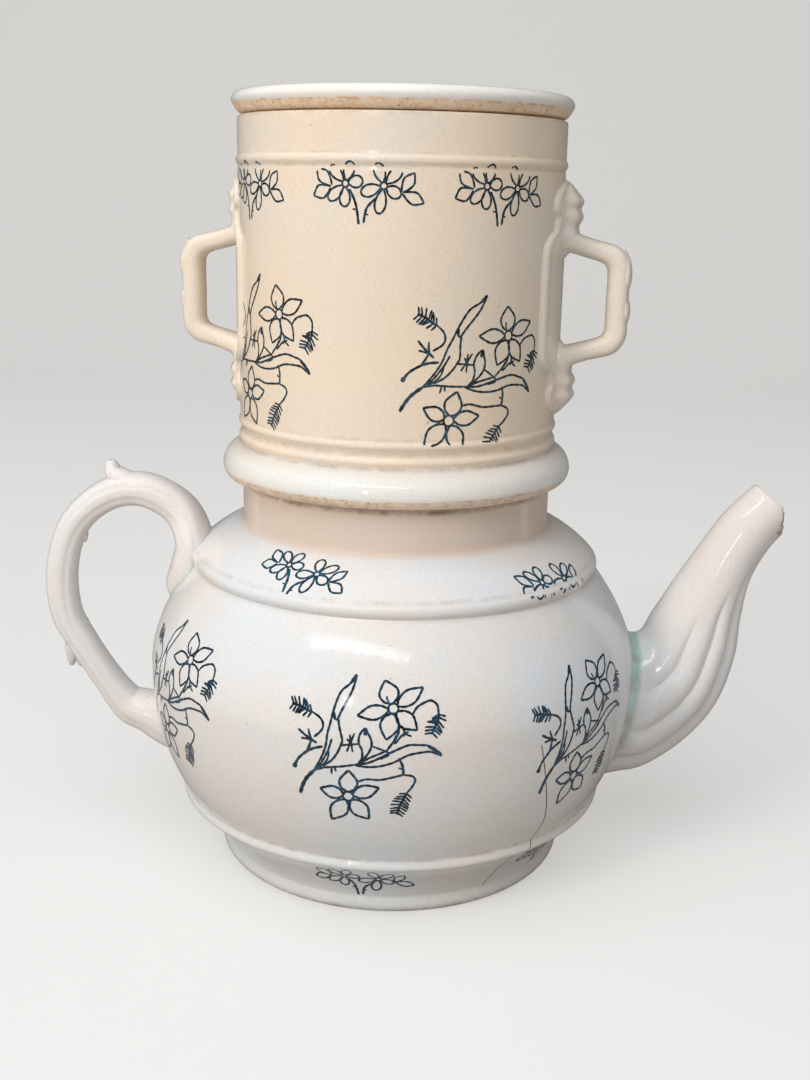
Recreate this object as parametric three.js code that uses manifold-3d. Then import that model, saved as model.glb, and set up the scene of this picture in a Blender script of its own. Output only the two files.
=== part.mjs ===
// Drip coffee pot in glazed earthenware. A spouted pot carries a two-handled filter vessel, whose pierced
// floor holds the ground coffee, a pierced water spreader hung in its mouth, and a sunk lid on top.
// Units are millimetres and +Z is up. The spout points along +X and the pot's handle along -X.

import * as THREE from 'three';
import { mergeVertices } from 'three/addons/utils/BufferGeometryUtils.js';
import Module from 'manifold-3d';

const wasm = await Module();
wasm.setup();

// Driving dimensions of the pot
const potWall = 5;
const footRadius = 66;
const footRoll = 3;
const footRingWidth = 9;
const baseRecess = 3.5;
const potFloor = 6;
const lowBeadRadius = 82.3;
const lowBeadSize = 2.6;
const lowBeadHeight = 27;
const bellyRadius = 92.7;
const bellyHeight = 77;
const bellyRisePower = 1.7;
const bellyFallPower = 2.5;
const shoulderBeadRadius = 78.3;
const shoulderBeadSize = 2.7;
const shoulderBeadHeight = 116.3;
const neckRadius = 57.3;
const neckFillet = 4;
const neckBaseHeight = 129.5;
const neckRimHeight = 147;

// Driving dimensions of the filter vessel
const cylinderRadius = 58;
const cylinderWall = 5.5;
const cylinderRise = 125.3;
const collarProud = 8.1;
const collarHeight = 17.8;
const collarDrop = 3.7;
const collarClearance = 1.2;
const spigotClearance = 1.1;
const spigotDepth = 22;
const spigotWall = 4.5;
const lowerBeadSize = 2.2;
const middleBeadSize = 2;
const upperBeadSize = 1.5;
const upperBeadDrop = 13.6;
const beadGroove = 1;
const strainerThickness = 3.5;
const strainerLip = 3.5;
const rebateDepth = 3;
const rebateWidth = 2.1;

// Driving dimensions of the water spreader and the lid
const flangeThickness = 4;
const flangeClearance = 0.6;
const bowlClearance = 1;
const bowlDepth = 23;
const bowlWall = 3.5;
const lidOverhang = 1.6;
const lidThickness = 7.9;
const lidRoll = 3.6;
const lidWall = 4.5;
const lidWellDepth = 8.5;
const lidRimWidth = 17;
const lidPlugClearance = 1.2;
const bowlFillet = 4;
const knobRadius = 8.5;
const lidKnobHeight = 11;
const spreaderKnobHeight = 11;

// Driving dimensions of the spout and the three handles
const spoutReach = 50;
const spoutRise = 82.6;
const spoutRootHeight = 55;
const spoutRootDepth = 28.5;
const spoutRootWidth = 18.5;
const spoutTipDepth = 9.3;
const spoutTipWidth = 9;
const spoutFlutes = 11;
const fluteDepth = 1.5;
const boreTipRadius = 6.2;
const boreRootRadius = 15;
const earReach = 49.4;
const earRise = 22.4;
const earBellyReach = 34.2;
const earRootHeight = 45;
const earThickness = 12.4;
const earWidth = 15;
const leafRounding = 1.2;
const lugTopDrop = 18;
const lugSpan = 82.5;
const lugReach = 25.6;
const lugBar = 9.6;
const lugArm = 7.4;
const lugWidth = 12;
const lugRootWidth = 20;
const lugTurn = 7.5;
const lugPressed = { right: 0, left: 1.7 };
const plateBorder = 1.9;
const plateField = 0.9;
const plateBorderWidth = 4.5;
const plateHalfWidth = 29.5;

// Pierced floors: hole radius and pitch, and how many rings of holes
const holeRadius = 1.7;
const holePitch = 11.5;
const strainerRings = 3;
const spreaderRings = 2;

// Slip left between pieces that touch
const gap = 0.3;

// Facets round a turned piece, a knob, a pierced hole, the spout and its bore
const turnSides = 40;
const knobSides = 16;
const holeSides = 6;
const spoutSides = 40;
const boreSides = 16;

// Levels and radii worked out from the driving dimensions
const seatHeight = neckRimHeight + gap;
const rimHeight = seatHeight + cylinderRise;
const neckBore = neckRadius - potWall;
const spigotRadius = neckBore - spigotClearance;
const cylinderBore = cylinderRadius - cylinderWall;
const spigotBore = spigotRadius - spigotWall;
const spigotFoot = seatHeight - spigotDepth;
const rebateRadius = cylinderBore + rebateWidth;
const flangeFoot = rimHeight - rebateDepth + gap;
const flangeTop = flangeFoot + flangeThickness;
const lidSeat = flangeTop + gap;
const lidTop = lidSeat + lidThickness;
const bowlRadius = cylinderBore - bowlClearance;
const bowlFoot = flangeTop - bowlDepth;
const lidPlugRadius = bowlRadius - bowlWall - lidPlugClearance;
const lidRadius = cylinderRadius + lidOverhang;
const lidWellRadius = lidRadius - lidRimWidth;

// Outline helpers: every outline is a list of (radius, height) points
const at = (...pairs) => pairs.map(([r, z]) => new THREE.Vector2(r, z));

const arc = (r, z, across, up, from, to, steps) =>
  new THREE.EllipseCurve(r, z, across, up, from, to, from > to).getPoints(steps);

const bend = (a, control, b, steps) => new THREE.QuadraticBezierCurve(...at(a, control, b)).getPoints(steps);

const degrees = THREE.MathUtils.degToRad;

// Geometry to solid: shared vertices are merged, collapsed faces dropped and the faces turned outwards
function solid(geometry) {
  geometry.deleteAttribute('normal');
  geometry.deleteAttribute('uv');
  const merged = mergeVertices(geometry, 1e-4);
  const position = merged.attributes.position;
  const index = [];
  for (let i = 0; i < merged.index.count; i += 3) {
    const [a, b, c] = [0, 1, 2].map((k) => merged.index.getX(i + k));
    if (a !== b && b !== c && c !== a) index.push(a, b, c);
  }
  const corner = (i) => new THREE.Vector3().fromBufferAttribute(position, index[i]);
  let volume = 0;
  for (let i = 0; i < index.length; i += 3) volume += corner(i).dot(corner(i + 1).cross(corner(i + 2)));
  if (volume < 0) index.reverse();
  const mesh = new wasm.Mesh({
    numProp: 3,
    vertProperties: new Float32Array(position.array),
    triVerts: new Uint32Array(index),
  });
  return new wasm.Manifold(mesh);
}

// A closed outline turned round the upright axis
function turned(outline, sides = turnSides) {
  const closed = [...outline, outline[0]];
  const points = closed.filter((p, i) => i === 0 || p.distanceTo(closed[i - 1]) > 1e-3);
  return solid(new THREE.LatheGeometry(points, sides).rotateX(Math.PI / 2));
}

// Rings of points joined by faces, with a fan over each end
function lofted(rings) {
  const sides = rings[0].length;
  const points = rings.flat();
  const index = [];
  const quad = (a, b, c, d) => index.push(a, b, c, a, c, d);
  for (let i = 0; i < rings.length - 1; i++) {
    for (let j = 0; j < sides; j++) {
      const near = i * sides;
      const far = near + sides;
      quad(near + j, near + ((j + 1) % sides), far + ((j + 1) % sides), far + j);
    }
  }
  for (const [ring, flip] of [[0, false], [rings.length - 1, true]]) {
    const centre = points.length;
    const middle = new THREE.Vector3();
    rings[ring].forEach((p) => middle.add(p));
    points.push(middle.divideScalar(sides));
    for (let j = 0; j < sides; j++) {
      const pair = [ring * sides + j, ring * sides + ((j + 1) % sides)];
      if (flip) pair.reverse();
      index.push(centre, pair[1], pair[0]);
    }
  }
  const geometry = new THREE.BufferGeometry().setFromPoints(points);
  geometry.setIndex(index);
  return solid(geometry);
}

// A flat shape in the X-Z plane, rounded at its edges and centred on Y
function slab(shape, width, rounding) {
  const geometry = new THREE.ExtrudeGeometry(shape, {
    depth: width - 2 * rounding,
    bevelThickness: rounding,
    bevelSize: rounding,
    bevelOffset: -rounding,
    bevelSegments: 1,
    curveSegments: 4,
  });
  geometry.translate(0, 0, rounding - width / 2);
  return solid(geometry.rotateX(Math.PI / 2));
}

// Centres of a pierced floor: hexagonal rings, without the middle one where a knob stands there
function holeCentres(rings, first = 0) {
  const centres = [];
  for (let ring = first; ring <= rings; ring++) {
    const count = Math.max(1, 6 * ring);
    for (let i = 0; i < count; i++) {
      const side = Math.floor(i / Math.max(ring, 1));
      const along = ring ? (i % ring) / ring : 0;
      const [a, b] = [side, side + 1].map((k) => degrees(60 * k));
      centres.push(new THREE.Vector2(
        ring * holePitch * (Math.cos(a) * (1 - along) + Math.cos(b) * along),
        ring * holePitch * (Math.sin(a) * (1 - along) + Math.sin(b) * along),
      ));
    }
  }
  return centres;
}

function pierced(floor, centres, low, high) {
  const drill = new THREE.CylinderGeometry(holeRadius, holeRadius, high - low, holeSides);
  const cutter = solid(drill.rotateX(Math.PI / 2).translate(0, 0, (low + high) / 2));
  return centres.reduce((left, c) => left.subtract(cutter.translate([c.x, c.y, 0])), floor);
}

// The pot's belly: power curves that swell from the beads' roots to the widest level
const shoulderRoot = [shoulderBeadRadius - shoulderBeadSize, shoulderBeadHeight + shoulderBeadSize];
const lowRoot = [lowBeadRadius - lowBeadSize * 0.4, lowBeadHeight + lowBeadSize];

function swell([rootRadius, rootHeight], power, inset, steps) {
  return Array.from({ length: steps + 1 }, (_, k) => {
    const t = k / steps;
    const radius = bellyRadius - (bellyRadius - rootRadius) * t ** power;
    return new THREE.Vector2(radius - inset, bellyHeight + (rootHeight - bellyHeight) * t);
  });
}

const upperBelly = (inset, steps) =>
  swell([shoulderRoot[0], shoulderBeadHeight - shoulderBeadSize], bellyRisePower, inset, steps);
const lowerBelly = (inset, steps) => swell(lowRoot, bellyFallPower, inset, steps).reverse();

// The pot's outside, from the foot's roll up to the neck's rim
function potOutside() {
  const neckRoot = [neckRadius + neckFillet * 0.7, neckBaseHeight];
  const rimRound = potWall / 3;
  return [
    ...arc(footRadius - footRoll, footRoll, footRoll, footRoll, -Math.PI / 2, Math.PI / 2, 2),
    ...bend(
      [footRadius - footRoll, 2 * footRoll],
      [footRadius, lowBeadHeight - 3 * lowBeadSize],
      [lowRoot[0] - lowBeadSize, lowBeadHeight - lowBeadSize],
      3,
    ),
    ...arc(lowBeadRadius - lowBeadSize, lowBeadHeight, lowBeadSize, lowBeadSize, -1.3, 1.1, 3),
    ...lowerBelly(0, 4),
    ...upperBelly(0, 4),
    ...arc(
      shoulderBeadRadius - shoulderBeadSize, shoulderBeadHeight, shoulderBeadSize, shoulderBeadSize,
      -1.3, 1.3, 3,
    ),
    ...bend(
      shoulderRoot,
      [(shoulderRoot[0] + neckRoot[0]) / 2 + 2, (shoulderRoot[1] + neckRoot[1]) / 2 + 1.5],
      neckRoot,
      2,
    ),
    ...bend(neckRoot, [neckRadius, neckBaseHeight + 1], [neckRadius, neckBaseHeight + neckFillet], 2),
    ...arc(neckRadius - rimRound, neckRimHeight - rimRound, rimRound, rimRound, 0, Math.PI / 2, 1),
  ];
}

function potInside() {
  const floorHeight = baseRecess + potFloor;
  return [
    ...at([neckBore, neckRimHeight], [neckBore, neckBaseHeight - 2]),
    ...upperBelly(potWall, 3).reverse(),
    ...lowerBelly(potWall, 2).reverse(),
    ...at([footRadius - 2 * footRoll, floorHeight + potWall], [footRadius - 3 * potWall, floorHeight]),
    ...at([0, floorHeight]),
  ];
}

const footUnderside = at(
  [0, baseRecess],
  [footRadius - footRoll - footRingWidth - baseRecess, baseRecess],
  [footRadius - footRoll - footRingWidth, 0],
);

// The pot's outside filled solid and grown by the slip, which trims what is luted to it
function potEnvelope() {
  const skin = potOutside().map((p) => new THREE.Vector2(p.x + gap, p.y));
  return turned([...at([0, 0]), ...skin, ...at([0, neckRimHeight])]);
}

// Spout: stations from inside the belly to the lip. Out and up are shares of its reach and rise, deep and
// wide are shares of the way from the tip's half sizes to the root's, and flute is the flutes' depth
const spoutStations = [
  { out: -0.22, up: -0.012, lean: 0, deep: 1, wide: 1, flute: 0.4 },
  { out: 0.1, up: 0.024, lean: 10, deep: 0.9, wide: 0.95, flute: 0.8 },
  { out: 0.37, up: 0.17, lean: 42, deep: 0.65, wide: 0.76, flute: 1 },
  { out: 0.494, up: 0.36, lean: 60, deep: 0.484, wide: 0.57, flute: 1 },
  { out: 0.568, up: 0.525, lean: 64, deep: 0.302, wide: 0.38, flute: 0.8 },
  { out: 0.68, up: 0.708, lean: 60, deep: 0.14, wide: 0.21, flute: 0.4 },
  { out: 0.828, up: 0.874, lean: 51, deep: 0.068, wide: 0.084, flute: 0.1 },
  { out: 1, up: 1, lean: 50, deep: 0, wide: 0, flute: 0 },
];

// Stations in between, so that the loft bends smoothly
function easedStations(stations, steps) {
  const keys = Object.keys(stations[0]);
  const rows = [];
  const last = stations.length - 1;
  for (let i = 0; i < last; i++) {
    for (let k = 0; k < steps; k++) {
      const around = [i - 1, i, i + 1, i + 2].map((n) => stations[Math.min(Math.max(n, 0), last)]);
      const row = {};
      for (const key of keys) {
        const [a, b, c, d] = around.map((station) => station[key]);
        const t = k / steps;
        row[key] = b + (t / 2) * (c - a + t * (2 * a - 5 * b + 4 * c - d + t * (3 * (b - c) + d - a)));
      }
      rows.push(row);
    }
  }
  return [...rows, stations[last]];
}

// One ring of the spout: an oval whose underside and flanks are cut in flutes, or a round of its bore
function spoutRing(station, sides, bore = false) {
  const lean = degrees(station.lean);
  const along = new THREE.Vector3(-Math.sin(lean), 0, Math.cos(lean));
  const centre = new THREE.Vector3(
    bellyRadius + station.out * spoutReach, 0, spoutRootHeight + station.up * spoutRise,
  );
  const boreSize = THREE.MathUtils.lerp(boreTipRadius, boreRootRadius, station.deep);
  const deepest = bore ? boreSize : THREE.MathUtils.lerp(spoutTipDepth, spoutRootDepth, station.deep);
  const widest = bore ? boreSize : THREE.MathUtils.lerp(spoutTipWidth, spoutRootWidth, station.wide);
  return Array.from({ length: sides }, (_, j) => {
    const turn = (2 * Math.PI * j) / sides;
    const low = THREE.MathUtils.smoothstep(-Math.cos(turn), -0.75, 0.15);
    const scallop = Math.abs(Math.cos((spoutFlutes * (turn - Math.PI)) / 2));
    const cut = bore ? 0 : fluteDepth * station.flute * low * (1 - scallop);
    return centre.clone()
      .addScaledVector(along, (deepest - cut) * Math.cos(turn))
      .add(new THREE.Vector3(0, (widest - cut) * Math.sin(turn), 0));
  });
}

// The hollow of the spout, run on past its lip and, for the pot, in through the belly's wall
function spoutBore(past, inwards) {
  const rings = spoutStations.map((station) => spoutRing(station, boreSides, true));
  const [inner, outer] = [rings[0], rings[rings.length - 1]];
  const lean = degrees(spoutStations[spoutStations.length - 1].lean);
  const beyond = new THREE.Vector3(Math.cos(lean), 0, Math.sin(lean)).multiplyScalar(past);
  const into = new THREE.Vector3(-inwards, 0, 0);
  return lofted([
    inner.map((p) => p.clone().add(into)),
    ...rings,
    outer.map((p) => p.clone().add(beyond)),
  ]);
}

function potSpout(envelope) {
  const outside = lofted(easedStations(spoutStations, 2).map((station) => spoutRing(station, spoutSides)));
  return outside.subtract(envelope).subtract(spoutBore(1, potWall));
}

function potBody() {
  return turned([...footUnderside, ...potOutside(), ...potInside()]).subtract(spoutBore(1, 3 * potWall));
}

// A bar that follows a line in the X-Z plane, with an oval section at each of its stations
function bar(stations, sides, steps) {
  const rows = easedStations(stations, steps);
  const centres = rows.map(({ x, z }) => new THREE.Vector3(x, 0, z));
  const rings = rows.map(({ thick, wide }, i) => {
    const before = centres[Math.max(i - 1, 0)];
    const after = centres[Math.min(i + 1, rows.length - 1)];
    const heading = after.clone().sub(before).normalize();
    const side = new THREE.Vector3(-heading.z, 0, heading.x);
    return Array.from({ length: sides }, (_, j) => {
      const turn = (2 * Math.PI * (j + 0.5)) / sides;
      return centres[i].clone()
        .addScaledVector(side, (thick / 2) * Math.cos(turn))
        .add(new THREE.Vector3(0, (wide / 2) * Math.sin(turn), 0));
    });
  });
  return lofted(rings);
}

// The pot's handle: an ear from the shoulder to the low belly, with a thumb leaf, a leaf spur and a drop.
// Out and up are shares of the ear's reach and rise, thick and wide of the strap's two sizes
function potHandle(envelope) {
  const shoulderPoint = ([out, up]) => [
    -(shoulderBeadRadius + out * earReach),
    shoulderBeadHeight + up * earRise,
  ];
  const bellyPoint = ([out, up]) => [
    -(bellyRadius + out * earBellyReach),
    earRootHeight + up * (shoulderBeadHeight - earRootHeight),
  ];
  const station = ([x, z], thick, wide) => ({ x, z, thick: thick * earThickness, wide: wide * earWidth });
  const ear = bar([
    station(shoulderPoint([0.1, -0.76]), 0.7, 1.4),
    station(shoulderPoint([0.01, -0.31]), 1, 1.6),
    station(shoulderPoint([-0.012, 0.22]), 0.97, 1.33),
    station(shoulderPoint([0.085, 0.72]), 1.05, 1.13),
    station(shoulderPoint([0.344, 1]), 1.07, 1.07),
    station(shoulderPoint([0.628, 0.893]), 1, 1.03),
    station(shoulderPoint([0.88, 0.4]), 0.95, 1),
    station(shoulderPoint([1, -0.357]), 0.97, 1),
    station(bellyPoint([1, 0.631]), 1, 1),
    station(bellyPoint([0.833, 0.435]), 1.05, 1),
    station(bellyPoint([0.585, 0.238]), 1.1, 1.07),
    station(bellyPoint([0.278, 0.088]), 1.25, 1.2),
    station(bellyPoint([-0.058, 0.007]), 1.7, 1.47),
    station(bellyPoint([-0.292, -0.014]), 1.85, 1.6),
  ], 12, 2);
  const leaf = (points, width) => slab(new THREE.Shape(at(...points)), width * earWidth, leafRounding);
  const thumb = [
    [0.12, 0.98], [0.344, 1.27], [0.466, 1.37], [0.587, 1.5], [0.634, 1.42], [0.644, 1.18], [0.567, 0.94],
    [0.24, 0.8],
  ];
  const spur = [[1.076, 0.512], [1.02, 0.411], [1.006, 0.316], [0.904, 0.316], [0.76, 0.379], [0.877, 0.505]];
  const drop = [[0.76, 0.4], [0.777, 0.205], [0.826, 0.09], [0.88, 0.045], [0.91, 0.27]];
  return [
    leaf(thumb.map(shoulderPoint), 0.6),
    leaf(spur.map(bellyPoint), 0.47),
    leaf(drop.map(shoulderPoint), 0.4),
  ].reduce((whole, piece) => whole.add(piece), ear).subtract(envelope);
}

// Filter vessel: spigot, seat on the neck's rim, half-round collar, two beads, wall, bead and rebated mouth
function filterCylinder() {
  const collarFoot = seatHeight - collarDrop;
  const collarMiddle = collarFoot + collarHeight / 2;
  const collarTop = collarFoot + collarHeight;
  const lipRadius = neckRadius + collarClearance;
  const lowerBead = collarTop + lowerBeadSize + beadGroove / 2;
  const middleBead = lowerBead + lowerBeadSize + beadGroove + middleBeadSize;
  const upperBead = rimHeight - upperBeadDrop;
  const rimRound = 1.5;
  const footChamfer = 1;
  const wallBead = (bead, size) =>
    arc(cylinderRadius - size * 0.1, bead, size * 1.1, size, -Math.PI / 2, Math.PI / 2, 2);
  return turned([
    ...at([spigotBore - strainerLip, spigotFoot]),
    ...at([spigotRadius - footChamfer, spigotFoot], [spigotRadius, spigotFoot + footChamfer]),
    ...at([spigotRadius, seatHeight], [lipRadius, seatHeight], [lipRadius, collarFoot + 0.6]),
    ...arc(
      cylinderRadius + 1.5, collarMiddle, collarProud - 1.5, collarHeight / 2, -Math.PI / 2, Math.PI / 2, 5,
    ),
    ...at([cylinderRadius + 1, collarTop + beadGroove / 2]),
    ...arc(cylinderRadius + 0.9, lowerBead, lowerBeadSize, lowerBeadSize, -Math.PI / 2, Math.PI / 2, 2),
    ...wallBead(middleBead, middleBeadSize),
    ...wallBead(upperBead, upperBeadSize),
    ...arc(cylinderRadius - rimRound, rimHeight - rimRound, rimRound, rimRound, 0, Math.PI / 2, 2),
    ...at([rebateRadius, rimHeight], [rebateRadius, rimHeight - rebateDepth]),
    ...at([cylinderBore, rimHeight - rebateDepth]),
    ...at([cylinderBore, seatHeight + spigotWall], [spigotBore, seatHeight]),
    ...at([spigotBore, spigotFoot + strainerLip], [spigotBore - strainerLip, spigotFoot + strainerLip]),
  ]);
}

function strainerPlate() {
  const low = spigotFoot + strainerLip + gap;
  const disc = turned(at(
    [0, low], [spigotBore - gap, low],
    [spigotBore - gap, low + strainerThickness], [0, low + strainerThickness],
  ));
  return pierced(disc, holeCentres(strainerRings), low - 1, low + strainerThickness + 1);
}

function waterSpreader() {
  const flangeRadius = rebateRadius - flangeClearance;
  const floorTop = bowlFoot + bowlWall;
  const inside = bowlRadius - bowlWall;
  const bowl = turned([
    ...at([0, bowlFoot]),
    ...arc(bowlRadius - 2 * bowlFillet, bowlFoot + bowlFillet, bowlFillet, bowlFillet, -Math.PI / 2, -0.4, 2),
    ...at([bowlRadius, flangeFoot], [flangeRadius, flangeFoot], [flangeRadius, flangeTop]),
    ...at([inside, flangeTop], [inside - bowlFillet, floorTop + bowlFillet]),
    ...at([inside - 2 * bowlFillet, floorTop], [0, floorTop]),
  ]);
  return pierced(bowl, holeCentres(spreaderRings, 1), bowlFoot - 1, floorTop + 1);
}

// A button knob standing on a level: it flares from a narrow foot to a round head
function knob(foot, height) {
  const head = knobRadius * 0.45;
  return turned([
    ...at([0, foot], [knobRadius * 0.6, foot]),
    ...arc(knobRadius - head, foot + height - head, head, head, -0.5, Math.PI / 2, 4),
    ...at([0, foot + height]),
  ], knobSides);
}

// Lid: a rolled rim over an unglazed bevel, and a sunk well whose outside fits the spreader's bowl
function sunkLid() {
  const wellFloor = lidTop - lidWellDepth;
  const plugFoot = wellFloor - lidWall;
  const plugRound = 2;
  const bevel = lidRadius - lidRoll;
  return turned([
    ...at([0, plugFoot], [lidPlugRadius - plugRound, plugFoot], [lidPlugRadius, plugFoot + plugRound]),
    ...at([lidPlugRadius, lidSeat], [bevel, lidSeat], [lidRadius - 0.4, lidSeat + lidRoll * 0.85]),
    ...arc(lidRadius - lidRoll, lidTop - lidRoll, lidRoll, lidRoll, 0, Math.PI / 2, 3),
    ...arc(lidWellRadius + 2.5, lidTop - 2.5, 2.5, 2.5, Math.PI / 2, Math.PI, 2),
    ...at([lidWellRadius - 1, wellFloor + 1.5], [lidWellRadius - 3, wellFloor]),
    ...at([0, wellFloor]),
  ]);
}

// Lug handle of the filter vessel: an angular bar on a back plate, with a leaf above and below
function lugHandle(pressed) {
  const top = rimHeight - lugTopDrop;
  const foot = top - lugSpan;
  const middle = (top + foot) / 2;
  const barLine = cylinderRadius + lugReach - lugBar / 2;
  const armRoot = lugSpan * 0.25;
  const armEnd = armRoot - 5;
  const leaf = (sign) => {
    const rows = [
      { out: 0.4, drop: 0.5, half: 1.5 },
      { out: 3.4, drop: 3.5, half: 6 },
      { out: 6.4, drop: 8, half: 9.5 },
      { out: 5.4, drop: 10.2, half: 9.8 },
      { out: 6.9, drop: 12.4, half: 10 },
      { out: 5.6, drop: 16, half: 9.6 },
      { out: 6.2, drop: 19, half: lugRootWidth / 2 },
      { out: 3, drop: 26, half: lugRootWidth / 2 },
    ];
    const end = sign > 0 ? top : foot;
    return lofted(rows.map(({ out, drop, half }) => {
      const height = end - sign * drop;
      return Array.from({ length: 7 }, (_, j) => {
        const turn = -Math.PI / 2 + (Math.PI * j) / 6;
        return new THREE.Vector3(cylinderRadius + out * Math.cos(turn), half * Math.sin(turn), height);
      }).concat(new THREE.Vector3(cylinderRadius - 4, 0, height));
    }));
  };
  const half = (sign) => [
    { x: cylinderRadius - 3, z: middle + sign * armRoot, thick: lugArm + 1, wide: lugRootWidth },
    { x: cylinderRadius + 5, z: middle + sign * (armRoot - 1.6), thick: lugArm, wide: lugRootWidth * 0.85 },
    { x: barLine - 6, z: middle + sign * (armEnd + 1.3), thick: lugArm, wide: lugWidth + 1 },
    { x: barLine - 1, z: middle + sign * (armEnd - 1.5), thick: lugBar, wide: lugWidth },
    { x: barLine, z: middle + sign * (armEnd - 6), thick: lugBar - 1, wide: lugWidth },
  ];
  const grip = { x: barLine, z: middle, thick: lugBar, wide: lugWidth };
  const frame = bar([...half(1), grip, ...half(-1).reverse()], 8, 2);
  const plateRows = [
    { drop: 0, half: 3 },
    { drop: 3, half: 0.56 * plateHalfWidth },
    { drop: 7, half: 0.68 * plateHalfWidth },
    { drop: 17, half: 0.64 * plateHalfWidth },
    { drop: 21, half: 0.9 * plateHalfWidth },
    { drop: 27, half: plateHalfWidth },
  ];
  const plate = lofted([
    ...plateRows.map(({ drop, half }) => [top - drop, half]),
    ...plateRows.map(({ drop, half }) => [foot + drop, half]).reverse(),
  ].map(([height, half]) => {
    const edge = Math.min(plateBorderWidth, half / 3) / half;
    const across = [
      [-1, -plateBorder], [gap / half - 1, plateBorder], [edge - 1, plateBorder],
      [1.3 * edge - 1, plateField], [-0.35, plateField], [0, plateField],
    ];
    const mirrored = across.slice(0, -1).map(([share, proud]) => [-share, proud]).reverse();
    return [...across, ...mirrored].map(([share, proud]) => {
      const turn = (share * half) / cylinderRadius;
      const radius = cylinderRadius + proud;
      return new THREE.Vector3(radius * Math.cos(turn), radius * Math.sin(turn), height);
    });
  }));
  const wall = turned(at(
    [0, foot - 5], [cylinderRadius + gap, foot - 5], [cylinderRadius + gap, top + 5], [0, top + 5],
  ));
  return leaf(1).add(leaf(-1)).add(frame).translate([-pressed, 0, 0]).add(plate).subtract(wall);
}

// Glazes: the pot's cooler white, the filter vessel's warm cream, and bare clay
const whiteGlaze = new THREE.MeshStandardMaterial({ color: 0xe4e2da, roughness: 0.16, metalness: 0 });
const creamGlaze = new THREE.MeshStandardMaterial({ color: 0xe6d9c0, roughness: 0.18, metalness: 0 });

function piece(name, shape, material) {
  const { vertProperties, triVerts } = shape.getMesh();
  const geometry = new THREE.BufferGeometry();
  geometry.setAttribute('position', new THREE.BufferAttribute(vertProperties, 3));
  geometry.setIndex(new THREE.BufferAttribute(triVerts, 1));
  geometry.computeVertexNormals();
  const mesh = new THREE.Mesh(geometry, material);
  mesh.name = name;
  return mesh;
}

const envelope = potEnvelope();

const pot = new THREE.Group();
pot.add(piece('pot_body', potBody(), whiteGlaze));
pot.add(piece('pot_spout', potSpout(envelope), whiteGlaze));
pot.add(piece('pot_handle', potHandle(envelope), whiteGlaze));

const filter = new THREE.Group();
filter.add(piece('filter_cylinder', filterCylinder(), creamGlaze));
filter.add(piece('strainer_plate', strainerPlate(), creamGlaze));
for (const [side, turn] of [['right', -lugTurn], ['left', 180 - lugTurn]]) {
  const lug = piece(`filter_handle_${side}`, lugHandle(lugPressed[side]), creamGlaze);
  lug.rotation.z = degrees(turn);
  filter.add(lug);
}

const spreader = new THREE.Group();
spreader.add(piece('water_spreader', waterSpreader(), creamGlaze));
spreader.add(piece('spreader_knob', knob(bowlFoot + bowlWall + gap, spreaderKnobHeight), creamGlaze));

const lid = new THREE.Group();
lid.add(piece('lid', sunkLid(), creamGlaze));
lid.add(piece('lid_knob', knob(lidTop - lidWellDepth + gap, lidKnobHeight), creamGlaze));

// The origin is on the table, under the middle of the whole object
const coffeePot = new THREE.Group();
coffeePot.add(pot, filter, spreader, lid);
coffeePot.updateMatrixWorld(true);
const middle = new THREE.Box3().setFromObject(coffeePot, true).getCenter(new THREE.Vector3());
coffeePot.position.set(-middle.x, -middle.y, 0);

export default coffeePot;
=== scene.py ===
"""A French drip coffee pot in glazed earthenware: a spouted pot, the filter vessel that stands on its
neck, a pierced water spreader in the vessel's mouth and a sunk lid, with a blue floral transfer print.
Sizes below are millimetres from the potter's wheel axis; the meshes are in metres."""
from bisect import bisect
from itertools import product
from math import atan2, ceil, cos, degrees, exp, hypot, pi, radians, sin

import bpy
from mathutils import Matrix, Vector
from mathutils.bvhtree import BVHTree


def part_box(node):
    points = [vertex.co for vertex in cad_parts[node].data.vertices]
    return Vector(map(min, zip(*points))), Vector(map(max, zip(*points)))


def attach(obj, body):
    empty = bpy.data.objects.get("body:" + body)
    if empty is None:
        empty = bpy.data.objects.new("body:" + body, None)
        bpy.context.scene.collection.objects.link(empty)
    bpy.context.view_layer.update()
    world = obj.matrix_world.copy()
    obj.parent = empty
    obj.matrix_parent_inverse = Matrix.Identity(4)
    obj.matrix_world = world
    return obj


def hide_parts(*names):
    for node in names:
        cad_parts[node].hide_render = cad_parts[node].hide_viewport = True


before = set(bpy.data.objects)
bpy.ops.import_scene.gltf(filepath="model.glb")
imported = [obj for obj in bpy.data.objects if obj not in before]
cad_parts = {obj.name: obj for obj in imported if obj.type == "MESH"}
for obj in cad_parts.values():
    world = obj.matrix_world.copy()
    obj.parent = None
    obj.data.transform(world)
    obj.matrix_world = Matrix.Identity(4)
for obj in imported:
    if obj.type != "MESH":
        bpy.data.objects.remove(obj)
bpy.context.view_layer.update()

MM = 0.001
low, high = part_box("filter_cylinder")
WHEEL_X = (low[0] + high[0]) / 2


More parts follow.
